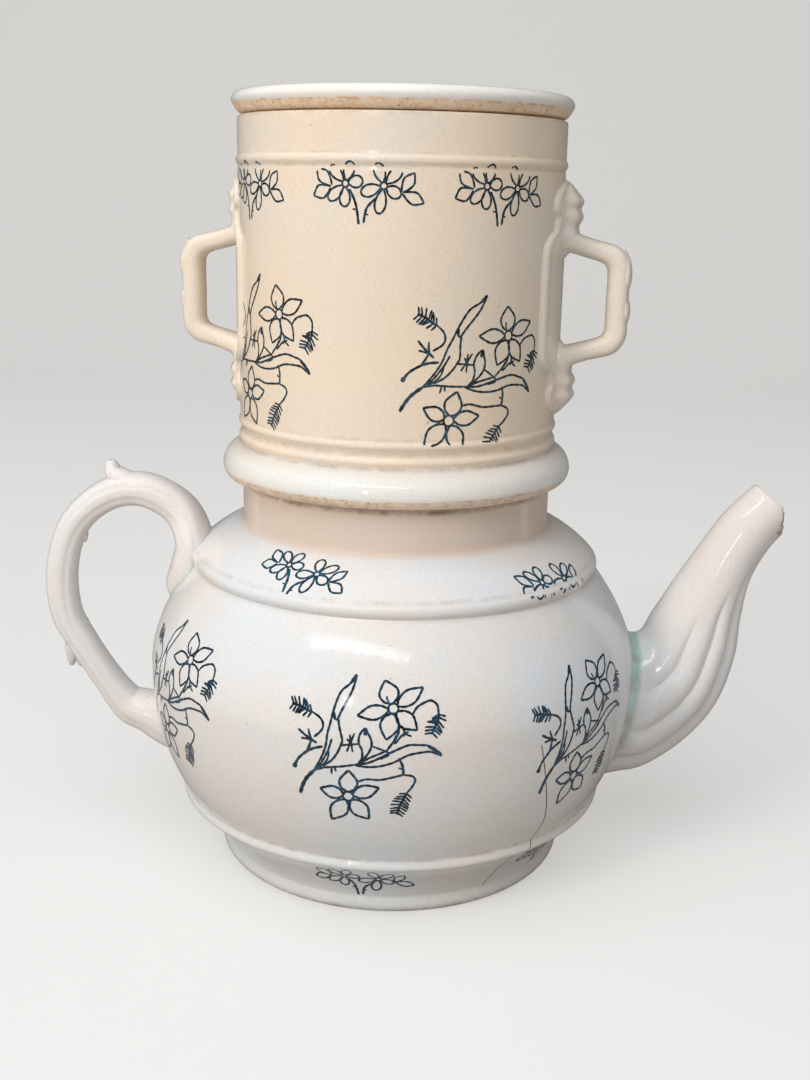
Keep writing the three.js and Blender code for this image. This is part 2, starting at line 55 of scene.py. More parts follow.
# Camera of the photograph: a phone's lens about half a metre away, looking fifteen degrees down
CAMERA_DISTANCE = 480.0
CAMERA_HEIGHT = 250.6
YAW, PITCH, ROLL = 0.007975, 0.2643459, 0.0207379
forward = Vector((sin(YAW) * cos(PITCH), cos(YAW) * cos(PITCH), -sin(PITCH)))
level = Vector((cos(YAW), -sin(YAW), 0))
upright = level.cross(forward)
across = level * cos(ROLL) + upright * sin(ROLL)
upwards = upright * cos(ROLL) - level * sin(ROLL)
lens = bpy.data.cameras.new("photograph_view")
lens.sensor_fit = "AUTO"
lens.sensor_width = 36
lens.lens = 43.3
lens.clip_start = 0.01
view = bpy.data.objects.new("photograph_view", lens)
bpy.context.collection.objects.link(view)
turn = Matrix((across, upwards, -forward)).transposed().to_4x4()
view.matrix_world = Matrix.Translation((WHEEL_X, -CAMERA_DISTANCE * MM, CAMERA_HEIGHT * MM)) @ turn
bpy.context.scene.camera = view


# Outline helpers: an outline is a list of (radius, height) points
def arc(r, z, out, up, start, end, steps):
    turns = [start + (end - start) * k / steps for k in range(steps + 1)]
    return [(r + out * cos(a), z + up * sin(a)) for a in turns]


def bend(a, control, b, steps):
    shares = [k / steps for k in range(steps + 1)]
    return [tuple((1 - t) ** 2 * p + 2 * t * (1 - t) * q + t * t * r for p, q, r in zip(a, control, b))
            for t in shares]


def held(value):
    """The value, kept between 0 and 1."""
    return min(1.0, max(0.0, value))


# Outside radii that several pieces share, and the belly's widest level with its rise and fall
BELLY, NECK, VESSEL = 92.6, 57.3, 58
WIDEST, BELLY_RISE, BELLY_FALL = 77, 36.6, 47.4


def belly_radius(z):
    """Outside of the belly at a height: power curves that swell from the beads to the widest level."""
    if z >= WIDEST:
        return BELLY - 17 * (min(z - WIDEST, BELLY_RISE) / BELLY_RISE) ** 1.7
    return BELLY - 11.34 * (min(WIDEST - z, BELLY_FALL) / BELLY_FALL) ** 2.5


def belly(top, bottom, steps, inset=0):
    heights = [bottom + (top - bottom) * k / steps for k in range(steps + 1)]
    return [(belly_radius(z) - inset, z) for z in heights]


def thin_out(points, tolerance):
    """Drops the points that a straight run between their neighbours already gives."""
    (r0, z0), (r1, z1) = points[0], points[-1]
    length = hypot(r1 - r0, z1 - z0)

    def off(p):
        if length < 1e-9:
            return hypot(p[0] - r0, p[1] - z0)
        return abs((r1 - r0) * (z0 - p[1]) - (r0 - p[0]) * (z1 - z0)) / length

    worst = max(range(1, len(points) - 1), key=lambda k: off(points[k]), default=None)
    if worst is None or off(points[worst]) <= tolerance:
        return [points[0], points[-1]]
    return thin_out(points[:worst + 1], tolerance)[:-1] + thin_out(points[worst:], tolerance)


def glazed(outline, softness=3, spacing=0.6):
    """Glaze rounds every corner: the outline is walked in short steps and evened out."""
    walk = [outline[0]]
    for (r0, z0), (r1, z1) in zip(outline, outline[1:]):
        steps = max(1, ceil(hypot(r1 - r0, z1 - z0) / spacing))
        walk += [(r0 + (r1 - r0) * k / steps, z0 + (z1 - z0) * k / steps) for k in range(1, steps + 1)]
    for _ in range(softness):
        middle = [((a[0] + 2 * b[0] + c[0]) / 4, (a[1] + 2 * b[1] + c[1]) / 4)
                  for a, b, c in zip(walk, walk[1:], walk[2:])]
        walk = [walk[0], *middle, walk[-1]]
    return thin_out(walk, 0.01)


# Making and finishing a mesh
def clear():
    """Object mode, with nothing selected."""
    if bpy.context.object and bpy.context.object.mode != "OBJECT":
        bpy.ops.object.mode_set(mode="OBJECT")
    bpy.ops.object.select_all(action="DESELECT")


def take(piece):
    clear()
    piece.select_set(True)
    bpy.context.view_layer.objects.active = piece
    return piece


def edit_whole():
    bpy.ops.object.mode_set(mode="EDIT")
    bpy.ops.mesh.select_all(action="SELECT")


def finished(piece, sharp=50):
    """Place goes into the mesh, doubles are merged, faces turned outwards and shaded smooth."""
    take(piece)
    bpy.ops.object.transform_apply(location=True, rotation=True, scale=True)
    edit_whole()
    bpy.ops.mesh.remove_doubles(threshold=2e-6)
    bpy.ops.mesh.normals_make_consistent(inside=False)
    bpy.ops.object.mode_set(mode="OBJECT")
    bpy.ops.object.shade_smooth_by_angle(angle=radians(sharp))
    return piece


def built(name, points, faces, sharp=50):
    """A piece from points, here in metres, and faces."""
    mesh = bpy.data.meshes.new(name)
    mesh.from_pydata(points, [], faces)
    piece = bpy.data.objects.new(name, mesh)
    bpy.context.collection.objects.link(piece)
    return finished(piece, sharp)


def thrown(name, outline, around=144):
    """A wall thrown on the wheel: one point is drawn along the outline, then spun round the axis."""
    clear()
    r, z = outline[0]
    bpy.ops.mesh.primitive_plane_add(size=MM, location=(WHEEL_X + r * MM, 0, z * MM))
    piece = bpy.context.object
    piece.name = piece.data.name = name
    edit_whole()
    bpy.ops.mesh.merge(type="CENTER")
    for (r0, z0), (r1, z1) in zip(outline, outline[1:]):
        step = {"value": ((r1 - r0) * MM, 0, (z1 - z0) * MM)}
        bpy.ops.mesh.extrude_vertices_move(TRANSFORM_OT_translate=step)
    bpy.ops.mesh.select_all(action="SELECT")
    bpy.ops.mesh.spin(steps=around, angle=2 * pi, center=(WHEEL_X, 0, 0), axis=(0, 0, 1))
    bpy.ops.object.mode_set(mode="OBJECT")
    return finished(piece)


def skinned(name, rings):
    """A pressed or pulled form: faces over rings of points (mm), with a fan over each end."""
    sides = len(rings[0])
    points = [p for ring in rings for p in ring]
    faces = []
    for i in range(len(rings) - 1):
        for j in range(sides):
            a, b = i * sides + j, i * sides + (j + 1) % sides
            faces.append((a, b, b + sides, a + sides))
    for first in (0, (len(rings) - 1) * sides):
        ring = points[first:first + sides]
        points.append([sum(p[k] for p in ring) / sides for k in range(3)])
        faces += [(len(points) - 1, first + j, first + (j + 1) % sides) for j in range(sides)]
    return built(name, [(WHEEL_X + x * MM, y * MM, z * MM) for x, y, z in points], faces)


def joined(piece, *others):
    take(piece)
    for other in others:
        other.select_set(True)
    bpy.ops.object.join()
    return piece


def cut(piece, cutter, operation="DIFFERENCE"):
    """Takes the cutter's form out of the piece, or adds it by a union. The cutter is used up."""
    take(piece)
    carve = piece.modifiers.new("carve", "BOOLEAN")
    carve.operation = operation
    carve.solver = "EXACT"
    carve.object = cutter
    bpy.ops.object.modifier_apply(modifier="carve")
    bpy.data.objects.remove(cutter, do_unlink=True)


def eased(stations, steps):
    """Stations in between, on a smooth curve through the given ones."""
    last = len(stations) - 1
    rows = []
    for i in range(last):
        four = [stations[min(max(n, 0), last)] for n in (i - 1, i, i + 1, i + 2)]
        for k in range(steps):
            t = k / steps
            rows.append(tuple(
                b + t / 2 * (c - a + t * (2 * a - 5 * b + 4 * c - d + t * (3 * (b - c) + d - a)))
                for a, b, c, d in zip(*four)))
    return rows + [tuple(stations[last])]


# Pot body: foot ring, cavetto, low bead, belly, shoulder bead, sloping shoulder and open neck
def pot_skin():
    return [
        *arc(63.9, 3.1, 2.9, 3.1, -pi / 2, 1.1, 8),
        *bend((65.4, 6.2), (69.9, 16.8), (79.5, 24.6), 10),
        *arc(80.5, 26.5, 1.5, 1.8, -1.3, 1.2, 8), (80.75, 28.7),
        *belly(113.6, 29.6, 34),
        *arc(74.7, 116.2, 2, 2.5, -1.3, 1.2, 8), (75.0, 119.2),
        *bend((74.7, 119.5), (68.6, 125.6), (60.2, 129.2), 8),
        *bend((60.2, 129.2), (57.5, 130.2), (NECK, 131.8), 5),
        *arc(55.63, 145.33, 1.67, 1.67, 0, pi / 2, 5),
    ]


def pot_solid():
    """The pot's outside filled in, half a millimetre smaller, which trims what is luted to it."""
    outline = [(r - 0.5, z) for r, z in pot_skin() if 1 < z < 140]
    return thrown("pot_solid", [(0, 1), *outline, (0, outline[-1][1])])


# Spout and ear are measured out from the belly's side or the shoulder's edge, and up from these levels
BELLY_SIDE, SPOUT_LEVEL, EAR_LEVEL = 92.7, 55, 45
SHOULDER_SIDE, SHOULDER_LEVEL = 78.3, 116.3
SPOUT_RUN = [
    # Out from the belly, up from the root, lean in degrees, half depth, half width, flute depth share
    (-16, -2.5, -3, 29, 19, 1),
    (-5, 0, 3, 28.2, 18.6, 1),
    (5, 2, 11, 26.6, 18, 1),
    (18.5, 14, 42, 21.8, 16.2, 1),
    (24.7, 29.7, 60, 18.6, 14.4, 1),
    (28.4, 43.4, 64, 15.1, 12.6, 0.9),
    (34, 58.5, 60, 12, 11, 0.7),
    (41.6, 71.9, 51, 11, 9.8, 0.45),
    (49.4, 81, 50, 10.3, 9.2, 0.2),
    (51, 82.9, 50, 10.1, 9.1, 0.2),
    (51.6, 83.6, 50, 9.3, 8.3, 0.2),
]
# The bore's radius grows from the tip's with the spout's half depth
BORE_TIP, BORE_GAIN = 6.2, 8.8
TIP_DEPTH, DEPTH_GAIN = 9.9, 19.1
# Degrees from flute to flute, up to the last one and over its fading edge
FLUTE_PITCH, LAST_FLUTE, FLUTE_FADE = 31, 112, 18
FLUTE_DEPTH = 2.9


def pot_distance(x, y, z):
    """How far a point stands out from the pot's outside, measured level: foot, belly, shoulder or neck."""
    if z < 29.6:
        wall = 66 + 14.5 * max(0, (z - 6) / 23.6) ** 1.1
    elif z < 116:
        wall = belly_radius(z)
    elif z < 129.5:
        wall = 75.6 - 15.4 * ((z - 116) / 13.5) ** 1.2
    else:
        wall = NECK
    return hypot(x, y) - wall


def spread(centre, point, reach, swell):
    """A luted joint's fillet: near the pot's wall the form widens smoothly."""
    away = pot_distance(*point)
    if away >= reach:
        return point
    share = held(1 - away / reach) ** 2.2
    out = Vector(point) - Vector(centre)
    return tuple(Vector(point) + out.normalized() * swell * share)


def flute_cut(p, turn, up):
    """Share of the flutes' depth at a point: they run along the underside and flanks and end below the neck.
    The flank lobes start rounded, a little off the belly."""
    below = abs(180 - degrees(turn) % 360)
    fluted = 1 - held((below - LAST_FLUTE) / FLUTE_FADE)
    lobe = abs(cos(pi * below / FLUTE_PITCH))
    flank = below - 1.4 * FLUTE_PITCH
    rise = 1 if flank < 0 else held((pot_distance(*p) - (2 + 0.06 * flank)) / 5) ** 0.6
    high_up = held((up - (62 - 0.42 * below)) / 22)
    return fluted * (1 - high_up * high_up) * (1 - lobe ** 0.45 * rise)


def spout_ring(station, sides, bore=False):
    """A section of the spout: an oval with flutes, or the round bore."""
    out, up, lean, deep, wide, flute = station
    tilt = radians(lean)
    centre = Vector((BELLY_SIDE + out, 0, SPOUT_LEVEL + up))
    side_up = Vector((-sin(tilt), 0, cos(tilt)))
    if bore:
        deep = wide = BORE_TIP + BORE_GAIN * (deep - TIP_DEPTH) / DEPTH_GAIN
    ring = []
    for j in range(sides):
        turn = 2 * pi * j / sides
        squared = 1 + 0.02 * cos(4 * turn)
        p = centre + side_up * (deep * squared * cos(turn)) + Vector((0, wide * squared * sin(turn), 0))
        if bore:
            ring.append(tuple(p))
            continue
        cut_in = FLUTE_DEPTH * flute * flute_cut(p, turn, up)
        p -= side_up * (cut_in * cos(turn)) + Vector((0, cut_in * sin(turn), 0))
        ring.append(spread(centre, tuple(p), 4.5, 2.2))
    return ring


def spout_bore(inwards):
    """The bore, lengthened into the pot and a little past the lip."""
    rings = [spout_ring(station, 40, bore=True) for station in eased(SPOUT_RUN[1:], 3)]
    tip = radians(SPOUT_RUN[-1][2])
    rings.insert(0, [(x - inwards, y, z) for x, y, z in rings[0]])
    rings.append([(x + 4 * cos(tip), y, z + 4 * sin(tip)) for x, y, z in rings[-1]])
    return skinned("spout_bore", rings)


pot_body = thrown("pot_shell", glazed([
    (0, 3.5), (48.5, 3.5), (50.5, 2.6), (54, 0.25), (55, 0), *pot_skin(),
    (54, 147), *arc(53.9, 145.4, 1.6, 1.6, pi / 2, pi, 4), (52.3, 140), (52.3, 127.5),
    *reversed(belly(110.5, 30, 14, inset=5)),
    (70, 20), (60, 14.5), (51, 9.5), (0, 9.5),
]))
cut(pot_body, spout_bore(14))

# The broken lip: its jagged line and the corners that close the wedge, both (out, up), then the line's slant
# and how near to it a face of the break lies
BREAK = [(54.1, 88), (54.6, 83), (55.3, 81.2), (54.2, 79.5), (54.9, 77.3), (55.4, 75.4), (54.6, 73.4),
         (55.2, 71.6), (54.3, 68.5)]
WEDGE = [(58, 62), (72, 66), (72, 90), (60, 96)]
BREAK_SLANT, BREAK_LAP, BREAK_NEAR = 0.29, 0.8, 1.2


def chip():
    """What is broken off the lip: a jagged wedge, uneven from side to side."""
    rings = []
    for k in range(15):
        y = -14 + 2 * k
        ring = []
        for i, (out, up) in enumerate(BREAK + WEDGE):
            push = BREAK_SLANT * y + (0.4 * sin(2.3 * k + 1.9 * i) if i < len(BREAK) else 0)
            ring.append((BELLY_SIDE + out + push, y, SPOUT_LEVEL + up + push))
        rings.append(ring)
    return skinned("lip_chip", rings)


def is_broken(face):
    """Whether a face lies in the break: it is near the jagged line and looks away from the pot."""
    out = (face.center.x - WHEEL_X - BREAK_SLANT * face.center.y) / MM - BELLY_SIDE
    up = face.center.z / MM - SPOUT_LEVEL
    for (x0, z0), (x1, z1) in zip(BREAK, BREAK[1:]):
        off = abs((x1 - x0) * (up - z0) - (z1 - z0) * (out - x0)) / hypot(x1 - x0, z1 - z0)
        if z1 - BREAK_LAP < up < z0 + BREAK_LAP and off < BREAK_NEAR and face.normal.x > 0.35:
            return True
    return False


pot_spout = skinned("pot_spout_shell", [spout_ring(s, 160) for s in eased(SPOUT_RUN, 10)])
cut(pot_spout, chip())
cut(pot_spout, pot_solid())
cut(pot_spout, spout_bore(2))
finished(pot_spout, 40)


# Pot handle: a pulled ear with a thumb leaf, two leaf spurs and a small drop inside. Its stations are
# (out, up, thickness, width) from the shoulder's edge or the belly's side
def off_shoulder(*stations):
    return [(-(SHOULDER_SIDE + out), SHOULDER_LEVEL + up, *section) for out, up, *section in stations]


def off_belly(*stations):
    return [(-(BELLY_SIDE + out), EAR_LEVEL + up, *section) for out, up, *section in stations]


EAR_RUN = off_shoulder(
    (1.5, -17, 6, 14), (3.8, -13.5, 11, 23), (0.3, -6, 14, 31), (-1.4, 4, 13.4, 30), (3.8, 15.4, 13.4, 18.5),
    (17, 22.4, 13.3, 16), (31, 20, 12.4, 15.5), (43.5, 9, 11.8, 15), (49.2, -8, 12, 15),
) + off_belly(
    (34.2, 45, 11.8, 15), (27.8, 31.8, 10.8, 15), (19.8, 18.6, 10.8, 15.5), (13.6, 9.6, 12.4, 16.5),
    (9.6, 6, 14.6, 17.5), (3.6, 3.8, 16.4, 19), (-4, 0.6, 20, 22), (-10, -1.5, 22, 24),
)


def swept(name, run, sides, steps, groove=0.0, flat=0.0, fillet=0.0):
    """A pulled strap that follows a line in the X-Z plane, with an oval, lightly grooved section."""
    rows = eased(run, steps)
    rings = []
    for i, (x, z, thick, wide) in enumerate(rows):
        before, after = rows[max(i - 1, 0)], rows[min(i + 1, len(rows) - 1)]
        heading = Vector((after[0] - before[0], 0, after[1] - before[1])).normalized()
        side = Vector((-heading.z, 0, heading.x))
        ring = []
        for j in range(sides):
            turn = 2 * pi * j / sides
            square = 1 + flat * cos(4 * turn + pi)
            dent = groove * sum(exp(-((cos(turn) - c) / 0.1) ** 2) for c in (0.42, -0.42))
            p = Vector((x, 0, z)) + side * ((thick / 2 * square - dent) * cos(turn))
            p += Vector((0, (wide / 2 * square - dent) * sin(turn), 0))
            ring.append(spread((x, 0, z), tuple(p), 3.5, fillet) if fillet else tuple(p))
        rings.append(ring)
    return skinned(name, rings)


pot_handle = swept("pot_ear", EAR_RUN, 48, 8, groove=0.5, flat=0.03, fillet=1.1)
LEAF_TIPS = {
    "thumb_leaf": off_shoulder(
        (2, 13, 8, 12), (8, 20.4, 8.5, 14), (15, 23.6, 9, 14), (21.5, 24.8, 8.6, 12.6), (26, 26.8, 8.2, 11),
        (28.2, 29, 6.9, 9), (28.8, 31, 5.6, 7.2), (29, 32.5, 4.4, 5.6), (29, 33.5, 2.6, 3.4)),
    "leaf_spur": off_belly(
        (29.6, 41, 8, 11), (31.2, 34.5, 8.2, 10), (32.2, 29, 6.2, 8), (32.9, 25, 4, 5.2),
        (33.3, 22.6, 1.8, 2.4)),
    "second_spur": off_belly(
        (27.6, 34, 8, 9), (28.8, 28, 6.2, 8), (29.4, 24.4, 3.8, 5), (29.8, 22.3, 1.6, 2.2)),
    "inner_drop": off_shoulder(
        (43.2, 10, 6.6, 8), (41.7, 6, 5.8, 7), (40.8, 3.2, 3.8, 4.8), (40.5, 1.4, 1.8, 2.4)),
}
for name, run in LEAF_TIPS.items():
    cut(pot_handle, swept(name, run, 24, 5, flat=0.02), operation="UNION")
cut(pot_handle, pot_solid())
finished(pot_handle, 40)


# Filter vessel: spigot, seat on the neck's rim, half-round collar, beads, wall and rebated mouth
filter_body = thrown("filter_vessel", glazed([
    (46.7, 140), (46.7, 128.8), (43.2, 128.8), (43.2, 125.3), (50.2, 125.3), (51.2, 126.3), (51.2, 147.3),
    (61.0, 147.3), (62.7, 147.9), (63.9, 149.2), *arc(57.5, 151.3, 7.1, 8.2, 0, 1.42, 14), (58.2, 160.6),
    *arc(57.9, 162.4, 0.75, 1.3, -pi / 2, pi / 2, 6), (57.5, 165.1),
    *arc(57.9, 168, 0.75, 1.3, -pi / 2, pi / 2, 6), (VESSEL, 170.2), (VESSEL, 256.4), (57.7, 257.4),
    *arc(57.9, 259.3, 0.8, 1.5, -pi / 2, pi / 2, 7), (VESSEL, 261.4),
    *arc(57.1, 273.1, 0.9, 0.9, 0, pi / 2, 4), (55.2, 274), (54.6, 273.4), (54.6, 269.6), (52.5, 269.6),
    (52.5, 151.8), (46.7, 147.3), (46.7, 140),
], softness=2))


# Pierced floors: round holes on hexagonal rings
HOLE_PITCH, HOLE_RADIUS = 11.5, 1.7


def hole_cutter(first, last, bottom, top):
    """Drills for the rings of holes from first to last. Ring 0 is the hole in the middle."""
    clear()
    drills = []
    for i, j in product(range(-last, last + 1), repeat=2):
        if first <= max(abs(i), abs(j), abs(i + j)) <= last:
            x, y = HOLE_PITCH * (i + j / 2), HOLE_PITCH * j * sin(pi / 3)
            bpy.ops.mesh.primitive_cylinder_add(
                vertices=20, radius=HOLE_RADIUS * MM, depth=(top - bottom) * MM,
                location=(WHEEL_X + x * MM, y * MM, (top + bottom) / 2 * MM))
            drills.append(bpy.context.object)
    return finished(joined(*drills))


strainer = thrown("strainer_disc", glazed([(0, 129.1), (46.4, 129.1), (46.4, 132.6), (0, 132.6)], 2), 96)
cut(strainer, hole_cutter(0, 3, 128, 134))
finished(strainer, 40)

spreader = thrown("spreader_dish", glazed([
    (0, 250.9), (43.5, 250.9), *arc(43.5, 254.9, 8, 4, -pi / 2, -0.2, 5), (51.5, 269.9), (54, 269.9),
    (54, 273.9), (48, 273.9), (47, 262), (44, 256), (40, 254.4), (0, 254.4),
], 2), 120)
cut(spreader, hole_cutter(1, 2, 250, 256))
finished(spreader, 40)


def button(name, foot, height):
    """A knob that flares from a narrow foot to a round head."""
    top = foot + height
    return thrown(name, glazed([
        (0, foot), (5.1, foot), *arc(4.7, top - 3.8, 3.8, 3.8, -0.5, pi / 2, 10), (0, top),
    ], 2, 0.4), 64)


spreader_button = button("spreader_button", 254.2, 11.4)

# Lid: a rolled rim over an unglazed bevel, and a sunk well with a button in it
lid_body = thrown("lid_shell", glazed([
    (0, 269.1), (44.8, 269.1), (46.8, 271.1), (46.8, 274.2), (55.5, 274.2), (57.6, 275), (58.3, 275.7),
    *arc(56.4, 279.2, 3.6, 2.9, -0.35, pi / 2, 12), *arc(45.1, 279.6, 2.5, 2.5, pi / 2, pi, 6),
    (41.6, 275.1), (39.6, 273.6), (0, 273.6),
], 2))
lid_button = button("lid_button", 273.4, 11.5)


# Lug handles of the filter vessel: an angular bar on a bordered back plate, with a leaf above and below
LUG_TOP, LUG_FOOT = 254.6, 172.1
LUG_MIDDLE = (LUG_TOP + LUG_FOOT) / 2
BAR_LINE = 78.4
# The back plate: how proud and how wide its border is, and how far its field is sunk
PLATE_PROUD, BORDER, FIELD_SUNK = 1.5, 3.6, 0.6


def lug_bar(name):
    """The bar from its upper arm to the lower one, which mirrors it."""
    half = [
        (52, 20.4, 8.6, 20), (60, 20.3, 8.2, 19.5), (63.5, 19.4, 7.5, 16.5), (68, 18, 7.2, 13.6),
        (72.6, 16.8, 7.4, 12.8), (76.2, 15.2, 8.4, 12.4), (78.2, 12, 8.6, 12.2),
        (BAR_LINE, 8, 8.3, 12), (BAR_LINE, 4, 8.3, 12),
    ]
    run = [(x, LUG_MIDDLE + up, *section) for x, up, *section in half]
    run.append((BAR_LINE, LUG_MIDDLE, 8.4, 12.2))
    run += [(x, LUG_MIDDLE - up, *section) for x, up, *section in reversed(half)]
    return swept(name, run, 32, 5, flat=0.045)


def lug_leaf(sign):
    """A moulded acanthus leaf: two curled lobes one above the other, ribbed down the middle."""
    rows = [  # proud of the wall, from the plate's end, half width
        (0.2, 0.2, 1), (1.8, 0.9, 4.2), (4.1, 3.5, 7.6), (6, 5.9, 9.2), (6.6, 7.6, 9.6), (5.8, 9.8, 9.2),
        (6.6, 12, 9.7), (6.4, 13.6, 9.6), (5.4, 15.4, 9.3), (5.6, 17.4, 9.6), (6.4, 20.5, 9.8),
        (3.4, 24, 8), (0.4, 27.6, 3.4),
    ]
    end = LUG_TOP if sign > 0 else LUG_FOOT
    rings = []
    for out, drop_down, half in eased(rows, 3):
        height = end - sign * drop_down
        ring = []
        for j in range(21):
            turn = -pi / 2 + pi * j / 20
            rib = 1 + 0.045 * cos(6 * turn) * min(1, drop_down / 5) * (1 if drop_down < 17 else 0.3)
            ring.append((VESSEL + max(out, 0.05) * cos(turn) ** 0.7 * rib, half * sin(turn), height))
        ring.append((54, 0, height))
        rings.append(ring)
    return skinned("lug_leaf", rings)


def lug_plate():
    """The plate that backs the handle: a raised, rounded border round a sunk field."""
    edge = [  # from the plate's end, half width in degrees round the vessel
        (0, 2), (0.6, 6), (1.8, 11), (3.8, 15.6), (6.4, 18.6), (10, 19.2), (12.4, 16.8), (14.6, 17.4),
        (17, 18.4), (18.6, 22), (21, 25.2), (24, 26.6), (29, 27), (35, 27.2), (41.25, 27),
    ]
    rows = [(LUG_TOP - d, h) for d, h in eased(edge, 4)]
    rows += [(LUG_FOOT + d, h) for d, h in eased(edge, 4)[-2::-1]]
    rings = []
    for height, half in rows:
        from_end = min(LUG_TOP - height, height - LUG_FOOT)
        ring = []
        for j in range(65):
            share = -1 + 2 * j / 64
            inwards = min((1 - abs(share)) * half * VESSEL * pi / 180, from_end * 1.2 + 0.01)
            lift = PLATE_PROUD * held(inwards / 1.6) ** 0.6
            field = held((inwards - BORDER) / 1.8)
            proud = lift - FIELD_SUNK * field * field * (3 - 2 * field)
            turn = radians(share * half)
            ring.append(((VESSEL + proud) * cos(turn), (VESSEL + proud) * sin(turn), height))
        for j in range(1, 10):
            turn = radians((1 - 2 * j / 10) * half)
            ring.append((56.2 * cos(turn), 56.2 * sin(turn), height))
        rings.append(ring)
    return skinned("lug_plate", rings)


def bar_leaf():
    """A slim leaf of two lobes down the outside of the bar."""
    run = [
        (79.2, 17.5, 2.5, 4), (80.4, 14, 3.8, 8.6), (81.1, 10, 4, 10.6), (80.9, 6, 3.9, 10),
        (79.9, 2.4, 3, 8), (81, -1, 3.8, 9.8), (81.2, -4.4, 4, 9.6), (80.5, -8.6, 3.4, 8),
        (79.4, -12, 2.4, 5), (79.2, -14.5, 1.4, 2.4),
    ]
    return swept("bar_leaf", [(x, LUG_MIDDLE + up, *section) for x, up, *section in run], 20, 4)


def lug_handle(name, azimuth, pressed):
    """A lug handle, its bar pressed towards the wall, turned to an azimuth in degrees."""
    lug = lug_bar(name)
    for part in (lug_leaf(1), lug_leaf(-1), bar_leaf()):
        cut(lug, part, operation="UNION")
    lug.location.x = -pressed * MM
    take(lug)
    bpy.ops.object.transform_apply(location=True)
    cut(lug, lug_plate(), operation="UNION")
    edit_whole()
    bpy.ops.transform.rotate(value=-radians(azimuth), orient_axis="Z", center_override=(WHEEL_X, 0, 0))
    bpy.ops.object.mode_set(mode="OBJECT")
    return finished(lug, 45)


lug_right = lug_handle("lug_right", -7.5, 0)
lug_left = lug_handle("lug_left", 172.5, 1.7)


# Transfer print: a floral spray on belly and vessel, and a sprig on shoulder, border and foot. A print is a
# list of (share of the pen's width, points), in millimetres along and up the surface from its middle
def walked(points, step=0.8):
    """A drawn line: a smooth curve through its points, walked in even steps."""
    rows = eased(points, 8) if len(points) > 2 else list(points)
    lengths = [0.0]
    for a, b in zip(rows, rows[1:]):
        lengths.append(lengths[-1] + hypot(b[0] - a[0], b[1] - a[1]))
    count = max(1, ceil(lengths[-1] / step))
    path, k = [], 0
    for i in range(count + 1):
        target = lengths[-1] * i / count
        while k < len(rows) - 2 and lengths[k + 1] < target:
            k += 1
        share = (target - lengths[k]) / max(lengths[k + 1] - lengths[k], 1e-9)
        path.append(tuple(a + (b - a) * share for a, b in zip(rows[k], rows[k + 1])))
    return path


def tuft(stalk, tooth, count):
    """A fern-like tuft: a stalk with short teeth along both sides."""
    lines = [(1.1, stalk)]
    path = walked(stalk, 0.3)
    for k in range(count):
        i = round((len(path) - 2) * (k + 0.6) / count)
        (x0, y0), (x1, y1) = path[i], path[i + 1]
        along = atan2(y1 - y0, x1 - x0)
        reach = tooth * (0.7 + 0.4 * sin(pi * (k + 1) / (count + 1)))
        for side in (1, -1):
            lean = along + side * radians(66 + 6 * sin(5 * k + side))
            lines.append((0.9, [(x0, y0), (x0 + reach * cos(lean), y0 + reach * sin(lean))]))
    return lines


def leaf_sides(x, y, angle, outline):
    """The two sides of a petal or leaf, from (along, aside) points that start at its foot."""
    a = radians(angle)
    return [[(x + along * cos(a) - side * aside * sin(a), y + along * sin(a) + side * aside * cos(a))
             for along, aside in outline] for side in (1, -1)]


def pointed(x, y, angle, length, half, foot=0.0, share=1.0):
    """A pointed petal or leaf: its sides meet in a sharp tip."""
    outline = [(foot, 0.12 * half), (0.32 * length, 0.8 * half), (0.62 * length, half), (length, 0)]
    return [(share, side) for side in leaf_sides(x, y, angle, outline)]


def rounded(x, y, angle, length, half, foot=0.0, share=1.0):
    """A petal with a round end: one line up one side and down the other."""
    outline = [(foot, 0.25), (0.4 * length, 0.8 * half), (0.7 * length, half), (0.93 * length, 0.6 * half),
               (length, 0)]
    up, down = leaf_sides(x, y, angle, outline)
    return [(share, up + down[-2::-1])]


def flower(x, y, ring, shape, petals, share=1.0):
    circle = [(x + ring * cos(radians(a)), y + ring * sin(radians(a))) for a in range(0, 361, 45)]
    return [(share, circle)] + [line for p in petals for line in shape(x, y, *p, foot=ring, share=share)]


